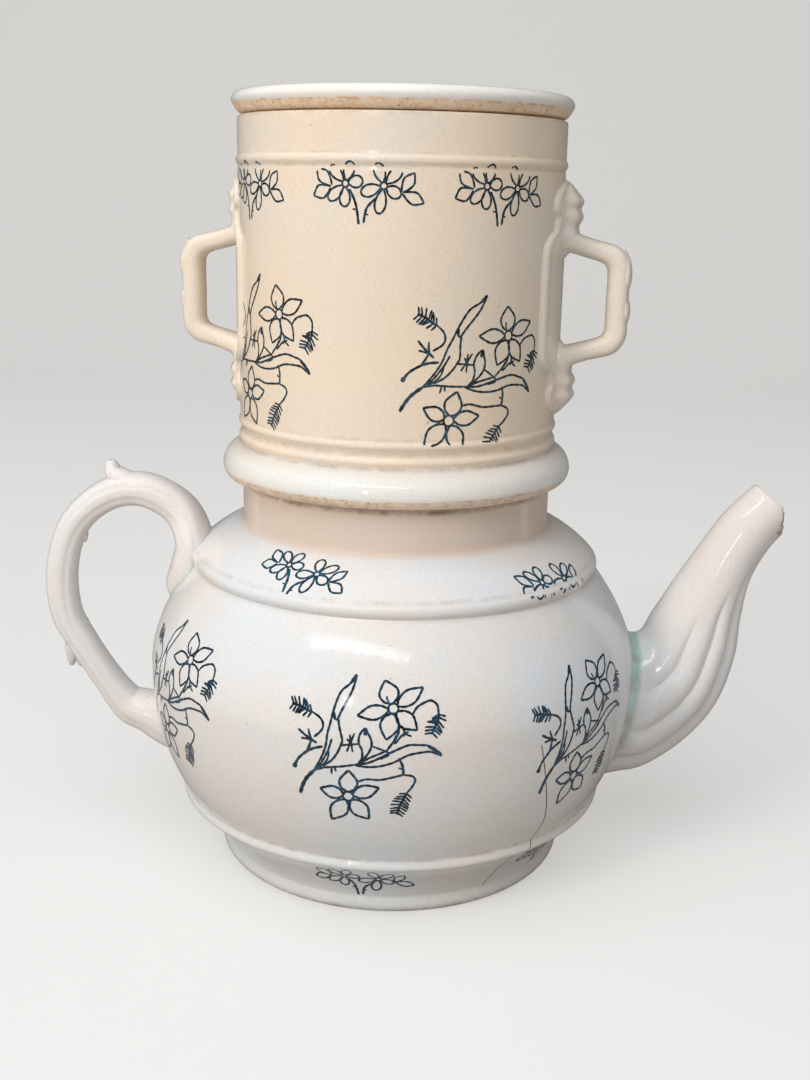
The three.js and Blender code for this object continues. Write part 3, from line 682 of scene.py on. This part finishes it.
SPRAY = [
    # Upper flower and its stems
    *flower(6.8, 13, 1.7, pointed, [
        (109, 9.6, 3), (36, 11.6, 2.3), (-41, 10.6, 2.5), (-101, 10.4, 2.9), (193, 11.9, 2.2)]),
    (0.8, [(4.5, 17), (4.7, 15.8), (5.4, 15)]),
    (1, [(9, 7.5), (8.5, 4.5), (7, 2), (5, -1)]),
    (0.9, [(8, 4.5), (7.5, 1.5), (10, 4.5), (12, 5.5)]), (0.9, [(9.5, 7.5), (10.5, 6), (10.5, 4)]),
    (0.8, [(10.5, 5), (13, 4)]), (0.8, [(10, 6), (12, 6.5)]),
    (1, [(13, 11), (14.5, 13.5), (17, 15), (19, 15.5), (21, 14), (21.5, 11.5)]),
    # Main stem, base line and the long right leaf
    (1.6, [(-19, -10), (-21.5, -13), (-23, -16), (-24, -19.5)]), (1, [(-19.5, -10.5), (-22, -14)]),
    (1, [(-19, -10), (-15.5, -8.5), (-10, -7.5), (-5.5, -6.5)]),
    (1, [(-5.5, -6.5), (-1.5, -7), (3, -6.5), (7.5, -5), (12, -2.5), (17, -1.5), (19.5, -1.5), (23, -3)]),
    (1, [(-5.5, -6.5), (-1, -5.5), (3, -3.5), (7.5, -1), (12, 1), (16, 1), (19, 0.5), (23, -3)]),
    (1.5, [(18.5, 0.5), (21, -1), (23, -3)]), (1, [(-4.5, -6.5), (-1, -4), (3, -2), (5, -1)]),
    # Tall leaf with its veins
    (1, [(-19, -10), (-16.5, -5), (-15, -0.5), (-14.5, 3.5), (-13.5, 7.5), (-12.5, 12), (-10.5, 17.5),
           (-7.5, 20.5), (-5.5, 23.5)]),
    (1, [(-5.5, 23.5), (-6.5, 19), (-8, 15.5), (-10, 11.5), (-11, 9)]),
    (1, [(-11, 9), (-10.5, 6), (-9.5, 2), (-10, 0), (-11, -2.5), (-13, -5.5), (-16, -8)]),
    (1.6, [(-5.5, 23.5), (-7, 21)]), (1.2, [(-12.5, 11), (-12, 8.5), (-11, 9)]),
    (0.9, [(-13, 2), (-14, -1.5), (-16, -6), (-18, -9)]), (0.8, [(-18, -9.5), (-14.5, -5.5), (-14, -1.5)]),
    # Bud leaf and the twig beside it
    (1, [(-4.5, -6.5), (-3, -4), (-3, -1), (-4, 1), (-4, 3.5), (-3, 5.5), (-2, 6.5)]),
    (1, [(-2, 6.5), (-1, 4.5), (0, 2.5), (0, 0), (-1.5, -3), (-4.5, -6.5)]),
    (1.5, [(-2, 6.5), (-2, 4)]), (0.9, [(-10, 0), (-7.5, 0.5), (-4, 1)]),
    (0.9, [(-7, 4), (-7, 1), (-8, -2)]), (0.9, [(-5.5, 4.5), (-6.5, 1.5), (-6, -2)]),
    (0.8, [(-8, 2.5), (-6.5, 1), (-5.5, 0.5)]), (0.9, [(0, 0.5), (3, -0.5), (6, -2), (3, -4)]),
    # Left twig
    (1.2, [(-16, -1), (-19, -2), (-21.5, -3.5), (-24.5, -6.5), (-26, -10)]),
    (2, [(-26, -10), (-25.5, -8.5)]), (1.1, [(-21.5, -3.5), (-20.5, -1), (-20, 1)]),
    (1.1, [(-24.5, 4), (-22.5, 2.5), (-20, 1), (-18, 0)]), (1, [(-23.5, 1), (-20, 1)]),
    (1, [(-21, 4.5), (-20.5, 2.5), (-19.5, 0.5)]),
    (1, [(-19, 2), (-16.5, 4.5), (-16, 6.5), (-17, 8.5), (-19.5, 10)]),
    # Lower right stalk and ticks
    (1.1, [(9, -3.5), (10, -5.5), (10.5, -7.5), (10.5, -9.5)]), (1, [(9, -7), (10.5, -7.5)]),
    (1, [(-4, -12.5), (-1.5, -11.5), (3, -11.5), (7, -10.5), (10.5, -9.5)]),
    (1, [(10.5, -9.5), (13.5, -10), (14.5, -11.5), (13.5, -14), (12, -16)]),
    (0.9, [(-13, -8), (-13, -10.5)]), (0.9, [(-12, -8), (-11.5, -9.5)]),
    # Lower flower and the three tufts
    *flower(-7.5, -18.4, 1.8, pointed, [
        (89, 9.8, 2.9), (21, 11, 2.3), (-52, 11.2, 2.8), (-119, 11.8, 2.8), (168, 9.7, 2.2)], 1.1),
    *tuft([(-19.5, 10), (-21.5, 10.5), (-24, 11.5), (-27, 12)], 2.9, 7),
    *tuft([(21.5, 11.5), (21.5, 9), (20.5, 7), (19.5, 4.5)], 3, 7),
    *tuft([(12, -16), (11, -18), (9.5, -21.5), (8.5, -25)], 3, 8),
]
SPRIG = [
    *flower(-6.4, 1.1, 1.1, rounded, [
        (10, 5.6, 1.8), (74, 6.8, 1.7), (134, 7.2, 1.6), (222, 7.4, 1.7), (268, 6.9, 1.7)]),
    *flower(5.7, 0.6, 1.1, rounded, [
        (-30, 5.9, 1.8), (44, 7.4, 1.7), (108, 7, 1.7), (198, 7.4, 1.8), (259, 8.4, 1.7)]),
    *pointed(-11, 0.4, 135, 7.2, 1.9), *pointed(-11.4, 0, 205, 6.4, 2),
    *pointed(11.3, -1.2, 57, 6.9, 1.7), *pointed(11.5, -1.4, -24, 7.2, 1.8),
    (1.2, [(-5, -0.5), (-3, -5), (-2, -11)]), (0.9, [(-4, -6.5), (-3, -6.5)]),
    (1.2, [(3.5, -3), (0.5, -6), (-0.5, -10.5)]), (0.9, [(0, -8), (1, -8)]),
]


# Tracks: from a height along the surface to (radius, height, outward normal) for a print to lie on. The belly
# is walked in steps, and the spray's middle lies 76 mm up
BELLY_STEP = 0.5
BELLY_HEIGHTS = [30 + BELLY_STEP * k for k in range(168)]
BELLY_WALK = [0.0]
for low_z, high_z in zip(BELLY_HEIGHTS, BELLY_HEIGHTS[1:]):
    BELLY_WALK.append(BELLY_WALK[-1] + hypot(BELLY_STEP, belly_radius(high_z) - belly_radius(low_z)))
SPRAY_START = BELLY_WALK[BELLY_HEIGHTS.index(76)]


def belly_track(v):
    target = min(max(SPRAY_START + v, 0.1), BELLY_WALK[-1] - 0.1)
    k = bisect(BELLY_WALK, target)
    share = (target - BELLY_WALK[k - 1]) / (BELLY_WALK[k] - BELLY_WALK[k - 1])
    z = BELLY_HEIGHTS[k - 1] + BELLY_STEP * share
    slope = belly_radius(z + 0.5) - belly_radius(z - 0.5)
    return belly_radius(z), z, 1 / hypot(1, slope), -slope / hypot(1, slope)


def straight_track(r, z, along_r=0.0, along_z=1.0):
    return lambda v: (r + along_r * v, z + along_z * v, along_z, -along_r)


# How far outside a surface a print's points start, and how far they may drop onto it
DROP_FROM, DROP_REACH = 6, 40


def stamp(tree, points, faces, track, angle, turned_by, grow, lines, keep, pen):
    """Lays a print's lines on a surface, angle degrees round from the camera's side to its right."""
    c, s = grow * cos(radians(turned_by)), grow * sin(radians(turned_by))
    for number, (share, line) in enumerate(lines):
        run = []
        for u, v in walked(line):
            r, z, out, up = track(u * s + v * c)
            a = radians(angle) + (u * c - v * s) / r
            normal = Vector((out * sin(a), -out * cos(a), up))
            start = Vector((WHEEL_X + r * MM * sin(a), -r * MM * cos(a), z * MM)) + normal * DROP_FROM * MM
            spot, facing, _, _ = tree.ray_cast(start, -normal, DROP_REACH * MM)
            if spot is not None and keep(spot.z / MM):
                run.append((spot, facing))
            else:
                lay_ribbon(run, pen * share, number, points, faces)
                run = []
        lay_ribbon(run, pen * share, number, points, faces)


def lay_ribbon(run, half, number, points, faces):
    """A thin closed ribbon along points on a surface, its width uneven as a pulled print's is."""
    if len(run) < 2:
        return
    first, last = len(points), len(run) - 1
    lift = 0.05 + 0.008 * (number % 4)
    for i, (spot, normal) in enumerate(run):
        heading = run[min(i + 1, last)][0] - run[max(i - 1, 0)][0]
        side = normal.cross(heading).normalized()
        width = half * (0.75 if i in (0, last) else 1 + 0.16 * sin(1.9 * i + 2.3 * number))
        for aside, proud in ((-width, lift), (width, lift), (width, -0.3), (-width, -0.3)):
            points.append(spot + side * aside * MM + normal * proud * MM)
    for i in range(last):
        a = first + 4 * i
        faces += [(a + j, a + (j + 1) % 4, a + 4 + (j + 1) % 4, a + 4 + j) for j in range(4)]
    end = first + 4 * last
    faces += [(first + 3, first + 2, first + 1, first), (end, end + 1, end + 2, end + 3)]


def printed(name, surface, stamps):
    """One print on a surface: its stamps are (track, angle, turned by, growth, lines, keep, half width)."""
    tree = BVHTree.FromObject(surface, bpy.context.evaluated_depsgraph_get())
    points, faces = [], []
    for row in stamps:
        stamp(tree, points, faces, *row)
    return built(name, points, faces, 30)


def anywhere(z):
    return True


def above_beads(z):
    return z > 168.4


def off_border_groove(z):
    return z < 256.1 or 257.0 < z < 260.4


def off_shoulder_groove(z):
    return z > 118.9 or 115.6 < z < 117.8


belly_print = printed("belly_print", pot_body, [
    (lambda v, up=up: belly_track(v + up), angle, turned_by, grow, SPRAY, anywhere, 0.4)
    for angle, turned_by, grow, up in (
        (-56.8, -2.9, 1.03, 2.4), (-4, 0, 1, 0), (48.2, 4.9, 0.99, -3),
        (124, -3, 1, 0.5), (176, 2, 1, 0), (228, 4, 1, -1))])
foot_print = printed("foot_print", pot_body, [
    (straight_track(71, 16.4, 0.64, 0.768), angle, 0, 1, SPRIG, anywhere, 0.38)
    for angle in (-7.5, 56, 172.5, 236)])
shoulder_print = printed("shoulder_print", pot_body, [
    (straight_track(r, z, -0.829, 0.561), angle, turned_by, 1, SPRIG, off_shoulder_groove, 0.4)
    for angle, turned_by, r, z in (
        (-27.4, -7, 67.4, 124.8), (48.8, -3, 74.5, 119.9), (120, 4, 67.4, 124.8), (226, -3, 68, 124.4))])
vessel_print = printed("vessel_print", filter_body, [
    (straight_track(VESSEL, level), angle, turned_by, 1.018, SPRAY, above_beads, 0.36)
    for angle, turned_by, level in (
        (29, -14.7, 192.9), (-52.6, -9.5, 197.3), (128, -12, 194), (208, -8, 196))])
border_print = printed("border_print", filter_body, [
    (straight_track(VESSEL, 250.6), angle, 0, 1.03, SPRIG, off_border_groove, 0.34)
    for angle in (-59.6, -11.3, 34.6, 120.4, 168.7, 214.6)])
CRACK = [
    (52.5, 71.3), (54.6, 63), (57.6, 52.4), (60.4, 44), (62, 37.8), (61.4, 31), (59, 25), (56, 15), (50, 6)]
hairline = printed("hairline_crack", pot_body, [
    (straight_track(91, 0), 0, 0, 1, [(1, CRACK)], anywhere, 0.2)])


# Materials
def srgb(hex_code):
    """An sRGB hex colour as linear light."""
    parts = [int(hex_code[i:i + 2], 16) / 255 for i in (1, 3, 5)]
    return (*[c / 12.92 if c <= 0.04045 else ((c + 0.055) / 1.055) ** 2.4 for c in parts], 1)


def add_node(m, kind, settings=None, **links):
    """One shader node, its inputs set or linked by name or, as i0, i1 and so on, by number."""
    node = m.node_tree.nodes.new("ShaderNode" + kind)
    for key, value in (settings or {}).items():
        setattr(node, key, value)
    for key, value in links.items():
        name = key.replace("_", " ")
        socket = node.inputs[int(key[1:])] if key[0] == "i" and key[1:].isdigit() else node.inputs[name]
        if isinstance(value, bpy.types.NodeSocket):
            m.node_tree.links.new(value, socket)
        else:
            socket.default_value = value
    return node


def ramp(m, value, stops, smooth="LINEAR"):
    node = add_node(m, "ValToRGB", Fac=value)
    node.color_ramp.interpolation = smooth
    while len(node.color_ramp.elements) < len(stops):
        node.color_ramp.elements.new(0.5)
    for element, (position, grey) in zip(node.color_ramp.elements, stops):
        element.position = position
        element.color = (grey, grey, grey, 1)
    return node.outputs["Color"]


def new_material(name):
    m = bpy.data.materials.new(name)
    m.use_nodes = True
    m.node_tree.nodes.clear()
    return m


def maths(m, operation, a, b=0.0, c=0.0, clamp=False):
    return add_node(m, "Math", {"operation": operation, "use_clamp": clamp}, i0=a, i1=b, i2=c).outputs[0]


def scaled(m, a, b, plus=0.0, clamp=False):
    return maths(m, "MULTIPLY_ADD", a, b, plus, clamp)


def mixed(m, factor, a, b, blend="MIX"):
    return add_node(m, "Mix", {"data_type": "RGBA", "blend_type": blend}, i0=factor, i6=a, i7=b).outputs[2]


def noise(m, where, scale, detail=3, rough=0.6):
    node = add_node(m, "TexNoise", Vector=where, Scale=scale, Detail=detail, Roughness=rough)
    return node.outputs[0]


def object_place(m):
    return add_node(m, "TexCoord").outputs["Object"]


def surfaced(m, **inputs):
    """Ends a recipe: its surface is a shader with these inputs."""
    shader = add_node(m, "BsdfPrincipled", **inputs)
    add_node(m, "OutputMaterial", Surface=shader.outputs[0])
    return m


def near_levels(m, height, levels):
    """Grey bands at (height, half width, strength) in millimetres, each fading to both sides."""
    total = 0.0
    for level, half, strength in levels:
        off = maths(m, "ABSOLUTE", maths(m, "SUBTRACT", height, level * MM))
        here = maths(m, "SUBTRACT", 1.0, maths(m, "DIVIDE", off, half * MM), clamp=True)
        total = scaled(m, here, strength, total)
    return total


def above(m, height, level, fade):
    """0 below a level, rising to 1 over the fade above it (mm)."""
    return maths(m, "DIVIDE", maths(m, "SUBTRACT", height, level * MM), fade * MM, clamp=True)


def below_edge(m, height, level, wobble, reach, soft):
    """1 below an edge at a level (mm) that a noise moves up and down by half its reach."""
    edge = scaled(m, maths(m, "SUBTRACT", wobble, 0.5), reach * MM, level * MM)
    return maths(m, "DIVIDE", maths(m, "SUBTRACT", edge, height), soft * MM, clamp=True)


def specks(m, where, scale, share, radius):
    """Round specks in a share of a noise's cells, their radius in millimetres at most."""
    cells = add_node(m, "TexVoronoi", Vector=where, Scale=scale, Randomness=1)
    draw = add_node(m, "SeparateColor", Color=cells.outputs["Color"])
    chosen = maths(m, "LESS_THAN", draw.outputs[0], share)
    size = scaled(m, maths(m, "ADD", draw.outputs[1], 0.3), radius * MM * scale / 1.3)
    return maths(m, "LESS_THAN", cells.outputs["Distance"], scaled(m, chosen, size))


def clay_below(m, where, height, level, tones, blotch_break):
    """Where the glaze was wiped off below a level: how bare the clay is there, and its colour."""
    wobble = noise(m, where, 190, 5, 0.7)
    bare = below_edge(m, height, level, wobble, 1.8, 0.5)
    grain = ramp(m, noise(m, where, 330, 5, 0.75), [(0.36, 0), (0.5, 0.75), (0.66, 1)])
    clay = mixed(m, grain, srgb(tones[0]), srgb(tones[1]))
    grog = scaled(m, specks(m, where, 520, 0.3, 0.42), 0.75)
    clay = mixed(m, grog, clay, srgb("#7D5B3C"))
    glaze_line = scaled(m, near_levels(m, height, [(level, 0.9, 0.75)]), blotch_break)
    return bare, mixed(m, glaze_line, clay, srgb("#A87D52"))


def glaze(name, body, cool, warm, crease_dirt_and_shade_levels=(), bare_level=None, pooled=False, thin_levels=(),
          thin_and_shaded_above=None, clay_tones=("#DDB68D", "#F7E2C8")):
    """Tin-white lead glaze on earthenware, dipped and fired: glassy and faintly orange-peeled, with brown
    iron specks of 0.2 to 0.8 mm, cloudy tone in patches of some 50 mm, and dirt with painted shade in creases
    and gaps."""
    m = new_material(name)
    where = object_place(m)
    height = add_node(m, "SeparateXYZ", Vector=where).outputs["Z"]
    clouds = noise(m, where, 19, 3, 0.5)
    patch = ramp(m, clouds, [(0.36, 0), (0.64, 1)], "EASE")
    tone = mixed(m, 0.5, srgb(body), mixed(m, patch, srgb(cool), srgb(warm)))
    tone = mixed(m, 0.6, tone, ramp(m, noise(m, where, 1100, 2), [(0.3, 0.88), (0.56, 1)]), "MULTIPLY")
    # Thin glaze, through which the clay shows warm. The tint above a level, on the pot's neck, is thin glaze
    # together with painted shade under the collar
    if thin_levels:
        tone = mixed(m, near_levels(m, height, thin_levels), tone, srgb("#D2BEA8"))
    if thin_and_shaded_above is not None:
        thin_and_shade = scaled(m, above(m, height, thin_and_shaded_above, 1.4), 0.8)
        tone = mixed(m, thin_and_shade, tone, srgb("#DCC8B6"))
    coarse, fine = specks(m, where, 105, 0.4, 0.42), specks(m, where, 300, 0.35, 0.24)
    tone = mixed(m, scaled(m, coarse, 0.6), tone, srgb("#86694C"))
    tone = mixed(m, scaled(m, fine, 0.42), tone, srgb("#94785A"))
    # A noise that breaks the bands of dirt and painted shade into patches
    blotch_noise = noise(m, where, 170, 5, 0.65)
    blotch_break = ramp(m, blotch_noise, [(0.4, 0), (0.62, 1)])
    dirt_and_shade = scaled(m, near_levels(m, height, crease_dirt_and_shade_levels), blotch_break)
    if pooled:
        # Towards the luted joint: glaze pools and turns greenish, and dirt with painted crease shade darkens
        # the joint
        joint = add_node(m, "Attribute", {"attribute_name": "joint"}).outputs["Fac"]
        greener = scaled(m, above(m, height, 40, 40), 0.75, 0.25)
        green = scaled(m, ramp(m, joint, [(0.1, 0), (0.5, 0.9)]), greener)
        tone = mixed(m, green, tone, srgb("#A9D0C6"))
        dirt_and_shade = scaled(m, ramp(m, joint, [(0.1, 0), (0.7, 0.5)]), blotch_break, dirt_and_shade)
    # Dirt together with painted shade darkens creases, grooves and gaps to a brown grey
    tone = mixed(m, dirt_and_shade, tone, srgb("#8F7A60"))
    rough = scaled(m, clouds, 0.06, 0.09)
    rough = scaled(m, dirt_and_shade, 0.35, rough)
    bare = 0.0
    if bare_level is not None:
        bare, clay = clay_below(m, where, height, bare_level, clay_tones, blotch_break)
        tone = mixed(m, bare, tone, clay)
        rough = scaled(m, bare, 0.6, rough, clamp=True)
    peel = maths(m, "SUBTRACT", noise(m, where, 240, 2, 0.5), scaled(m, coarse, 0.7))
    lift = scaled(m, blotch_noise, maths(m, "ADD", dirt_and_shade, bare), peel)
    bump = add_node(m, "Bump", Height=lift, Strength=0.12, Distance=0.0006)
    return surfaced(m, Base_Color=tone, Roughness=rough, Normal=bump.outputs[0], IOR=1.5)


def bare_clay():
    """Unglazed earthenware where the glaze is broken off: matt and grainy."""
    m = new_material("bare_clay")
    grain = noise(m, object_place(m), 420, 5, 0.7)
    tone = mixed(m, ramp(m, grain, [(0.36, 0), (0.6, 1)]), srgb("#A58A6C"), srgb("#E6DCCB"))
    bump = add_node(m, "Bump", Height=grain, Strength=0.5, Distance=0.0006)
    return surfaced(m, Base_Color=tone, Roughness=0.8, Normal=bump.outputs[0])


def ink(name, colour, deep, roughness=0.14):
    """Cobalt and iron transfer print under the glaze: a dark line, thinner and bluer in places."""
    m = new_material(name)
    blots = ramp(m, noise(m, object_place(m), 300, 4), [(0.4, 0), (0.64, 1)])
    return surfaced(m, Base_Color=mixed(m, blots, srgb(deep), srgb(colour)), Roughness=roughness, IOR=1.5)


def mark_joint(piece, strength, reach):
    """Writes how near each point is to the pot's wall, from 0 at the reach, for the pooled glaze."""
    field = piece.data.attributes.new("joint", "FLOAT", "POINT")
    near = []
    for vertex in piece.data.vertices:
        x, y, z = vertex.co / MM
        near.append(strength * held(1 - pot_distance(x - WHEEL_X / MM, y, z) / reach))
    field.data.foreach_set("value", near)


mark_joint(pot_spout, 1, 5)
mark_joint(pot_handle, 0.3, 3.2)
# Pot: the band at 145.3 mm is painted shadow, the dark line under the collar's lip on the neck; above 129.2
# mm the neck is tinted as thin glaze with painted shade under the collar; the foot and bead bands are dirt
# with painted crease shade
pot_glaze = glaze("pot_glaze", "#E2E2DF", "#D9E1E8", "#E7DCD1", [
    (0.8, 2.5, 0.6), (24.3, 1.2, 0.4), (29, 1, 0.45), (119.2, 1, 0.3), (145.3, 1.4, 1)], thin_and_shaded_above=129.2)
luted_glaze = glaze("luted_glaze", "#E7E4DF", "#E4E6E8", "#EADFD8", pooled=True)
# Vessel: the band at 273.4 mm on the rim is painted shadow of the gap under the lid; the bands at the ridges
# and bead are dirt with painted crease shade
filter_glaze = glaze("filter_glaze", "#EDDECA", "#E6DDD1", "#F1DCBF", [
    (165.2, 1.6, 0.25), (170.2, 0.9, 0.2), (257.2, 0.8, 0.3), (261.4, 0.8, 0.15), (273.4, 0.9, 0.3)])
collar_glaze = glaze("collar_glaze", "#E8E6DF", "#E5E9E7", "#ECE6DA", [(160.2, 1.2, 0.5)], bare_level=150.9,
                     thin_levels=[(161.5, 5, 0.6)], clay_tones=("#D3B596", "#EBD9C3"))
# Lid: the band at 273.6 mm is painted shadow of the gap under its rim
lid_glaze = glaze("lid_glaze", "#EFECE5", "#ECEDEA", "#F0E9DE", [(273.6, 1.2, 0.4)], bare_level=277.8)
well_glaze = glaze("well_glaze", "#EAE4D8", "#E8E7E2", "#EEE3D2", [(272.5, 1.5, 0.4)])
# Spreader: the strong band at 273.6 mm on its flange is painted shadow, the dark gap under the lid; the bands
# in the dish are dirt with painted crease shade
spreader_glaze = glaze("spreader_glaze", "#E1D6C6", "#DAD3C8", "#E2D0B8", [
    (254.6, 1.5, 0.5), (262, 6, 0.35), (273.6, 2.5, 1)])
lug_glaze = glaze("lug_glaze", "#EDE2D1", "#E8E2D9", "#F0E0CA")
broken = bare_clay()
print_ink = ink("print_ink", "#264A62", "#0F1F2A")
shoulder_ink = ink("shoulder_ink", "#265369", "#173949")
vessel_ink = ink("vessel_ink", "#33505F", "#182227")
crack_stain = ink("crack_stain", "#8A6A4C", "#5E4530", 0.5)

DRESSED = [  # piece, body, finish and, for all but thin trim, the CAD node that it stands in for
    (pot_body, "pot", pot_glaze, "pot_body"),
    (pot_spout, "pot", luted_glaze, "pot_spout"),
    (pot_handle, "pot", luted_glaze, "pot_handle"),
    (filter_body, "filter", filter_glaze, "filter_cylinder"),
    (strainer, "filter", filter_glaze, "strainer_plate"),
    (lug_right, "filter", lug_glaze, "filter_handle_right"),
    (lug_left, "filter", lug_glaze, "filter_handle_left"),
    (spreader, "spreader", spreader_glaze, "water_spreader"),
    (spreader_button, "spreader", lug_glaze, "spreader_knob"),
    (lid_body, "lid", lid_glaze, "lid"),
    (lid_button, "lid", lug_glaze, "lid_knob"),
    (belly_print, "pot", print_ink),
    (foot_print, "pot", print_ink),
    (shoulder_print, "pot", shoulder_ink),
    (hairline, "pot", crack_stain),
    (vessel_print, "filter", vessel_ink),
    (border_print, "filter", vessel_ink),
]
for piece, body, finish, *nodes in DRESSED:
    piece.data.materials.clear()
    piece.data.materials.append(finish)
    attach(piece, body)
    if nodes:
        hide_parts(*nodes)


# The collar's own glaze, the glazed well of the lid, and bare clay on the broken lip
def is_collar(face):
    return face.center.z < 160.9 * MM


def is_well(face):
    return face.normal.z > 0 and hypot(face.center.x - WHEEL_X, face.center.y) < 45.2 * MM


for piece, finish, chosen in (
        (filter_body, collar_glaze, is_collar), (lid_body, well_glaze, is_well),
        (pot_spout, broken, is_broken)):
    piece.data.materials.append(finish)
    for face in piece.data.polygons:
        if chosen(face):
            face.material_index = 1


# Floor: a pale sweep that runs up behind the object, sizes in metres
def sweep():
    """Level ground, a quarter turn in twelve steps, then straight up."""
    profile = [(-4.8, 0.0), (1.2, 0.0)]
    for k in range(12):
        a, (y, z) = radians(7.5 * (k + 0.5)), profile[-1]
        profile.append((y + 0.13 * cos(a), z + 0.13 * sin(a)))
    profile.append((profile[-1][0], profile[-1][1] + 3))
    points = [(x, y, z) for y, z in profile for x in (-3, 3)]
    faces = [(2 * k, 2 * k + 1, 2 * k + 3, 2 * k + 2) for k in range(len(profile) - 1)]
    return built("studio_sweep", points, faces, 60)


floor = sweep()
paper = new_material("studio_paper")
camera_ray = add_node(paper, "LightPath").outputs["Is Camera Ray"]
paper_tone = mixed(paper, camera_ray, srgb("#B4B1AD"), srgb("#F2F1EE"))
matt = add_node(paper, "BsdfDiffuse", Color=paper_tone)
glow = add_node(paper, "Emission", Color=srgb("#F4F3F0"), Strength=0.95)
seen = scaled(paper, camera_ray, 0.55)
blend = add_node(paper, "MixShader", i0=seen, i1=matt.outputs[0], i2=glow.outputs[0])
add_node(paper, "OutputMaterial", Surface=blend.outputs[0])
floor.data.materials.append(paper)


# Lights: a wide soft sky above the front, a window on the left and a weak fill on the right, which the glaze
# doesn't mirror, a long strip and a small lamp, which it does, and a pale room
def lamp(name, place, aim, size, power, colour="#FFFFFF"):
    light = bpy.data.lights.new(name, "AREA")
    light.shape = "RECTANGLE"
    light.size, light.size_y = size
    light.energy = power
    light.color = srgb(colour)[:3]
    rig = bpy.data.objects.new(name, light)
    bpy.context.collection.objects.link(rig)
    rig.location = place
    rig.rotation_euler = (Vector(aim) - Vector(place)).to_track_quat("-Z", "Y").to_euler()
    return rig


sky = lamp("sky", (-0.35, -0.5, 1.5), (0, 0, 0.1), (1.7, 1.2), 15.3, "#ECF3FF")
window = lamp("window", (-1.1, -1.1, 0.8), (0, 0, 0.15), (0.4, 0.6), 12.5, "#FFF4E8")
fill = lamp("fill", (1, -1, 0.7), (0.05, 0, 0.12), (0.7, 0.7), 2.8, "#FFF6EE")
for rig in (sky, window, fill):
    rig.visible_glossy = False
lamp("strip", (-0.4, -1.1, 1.25), (0, 0, 0.15), (1.3, 0.1), 3.2, "#F6F9FF")
lamp("glint", (-0.42, -1.2, 0.5), (0, 0, 0.22), (0.06, 0.14), 0.5)
world = bpy.data.worlds.new("studio")
bpy.context.scene.world = world
world.use_nodes = True
room = world.node_tree.nodes["Background"]
room.inputs["Color"].default_value = srgb("#F4F4F4")
room.inputs["Strength"].default_value = 0.24
bpy.context.scene.view_settings.view_transform = "Standard"
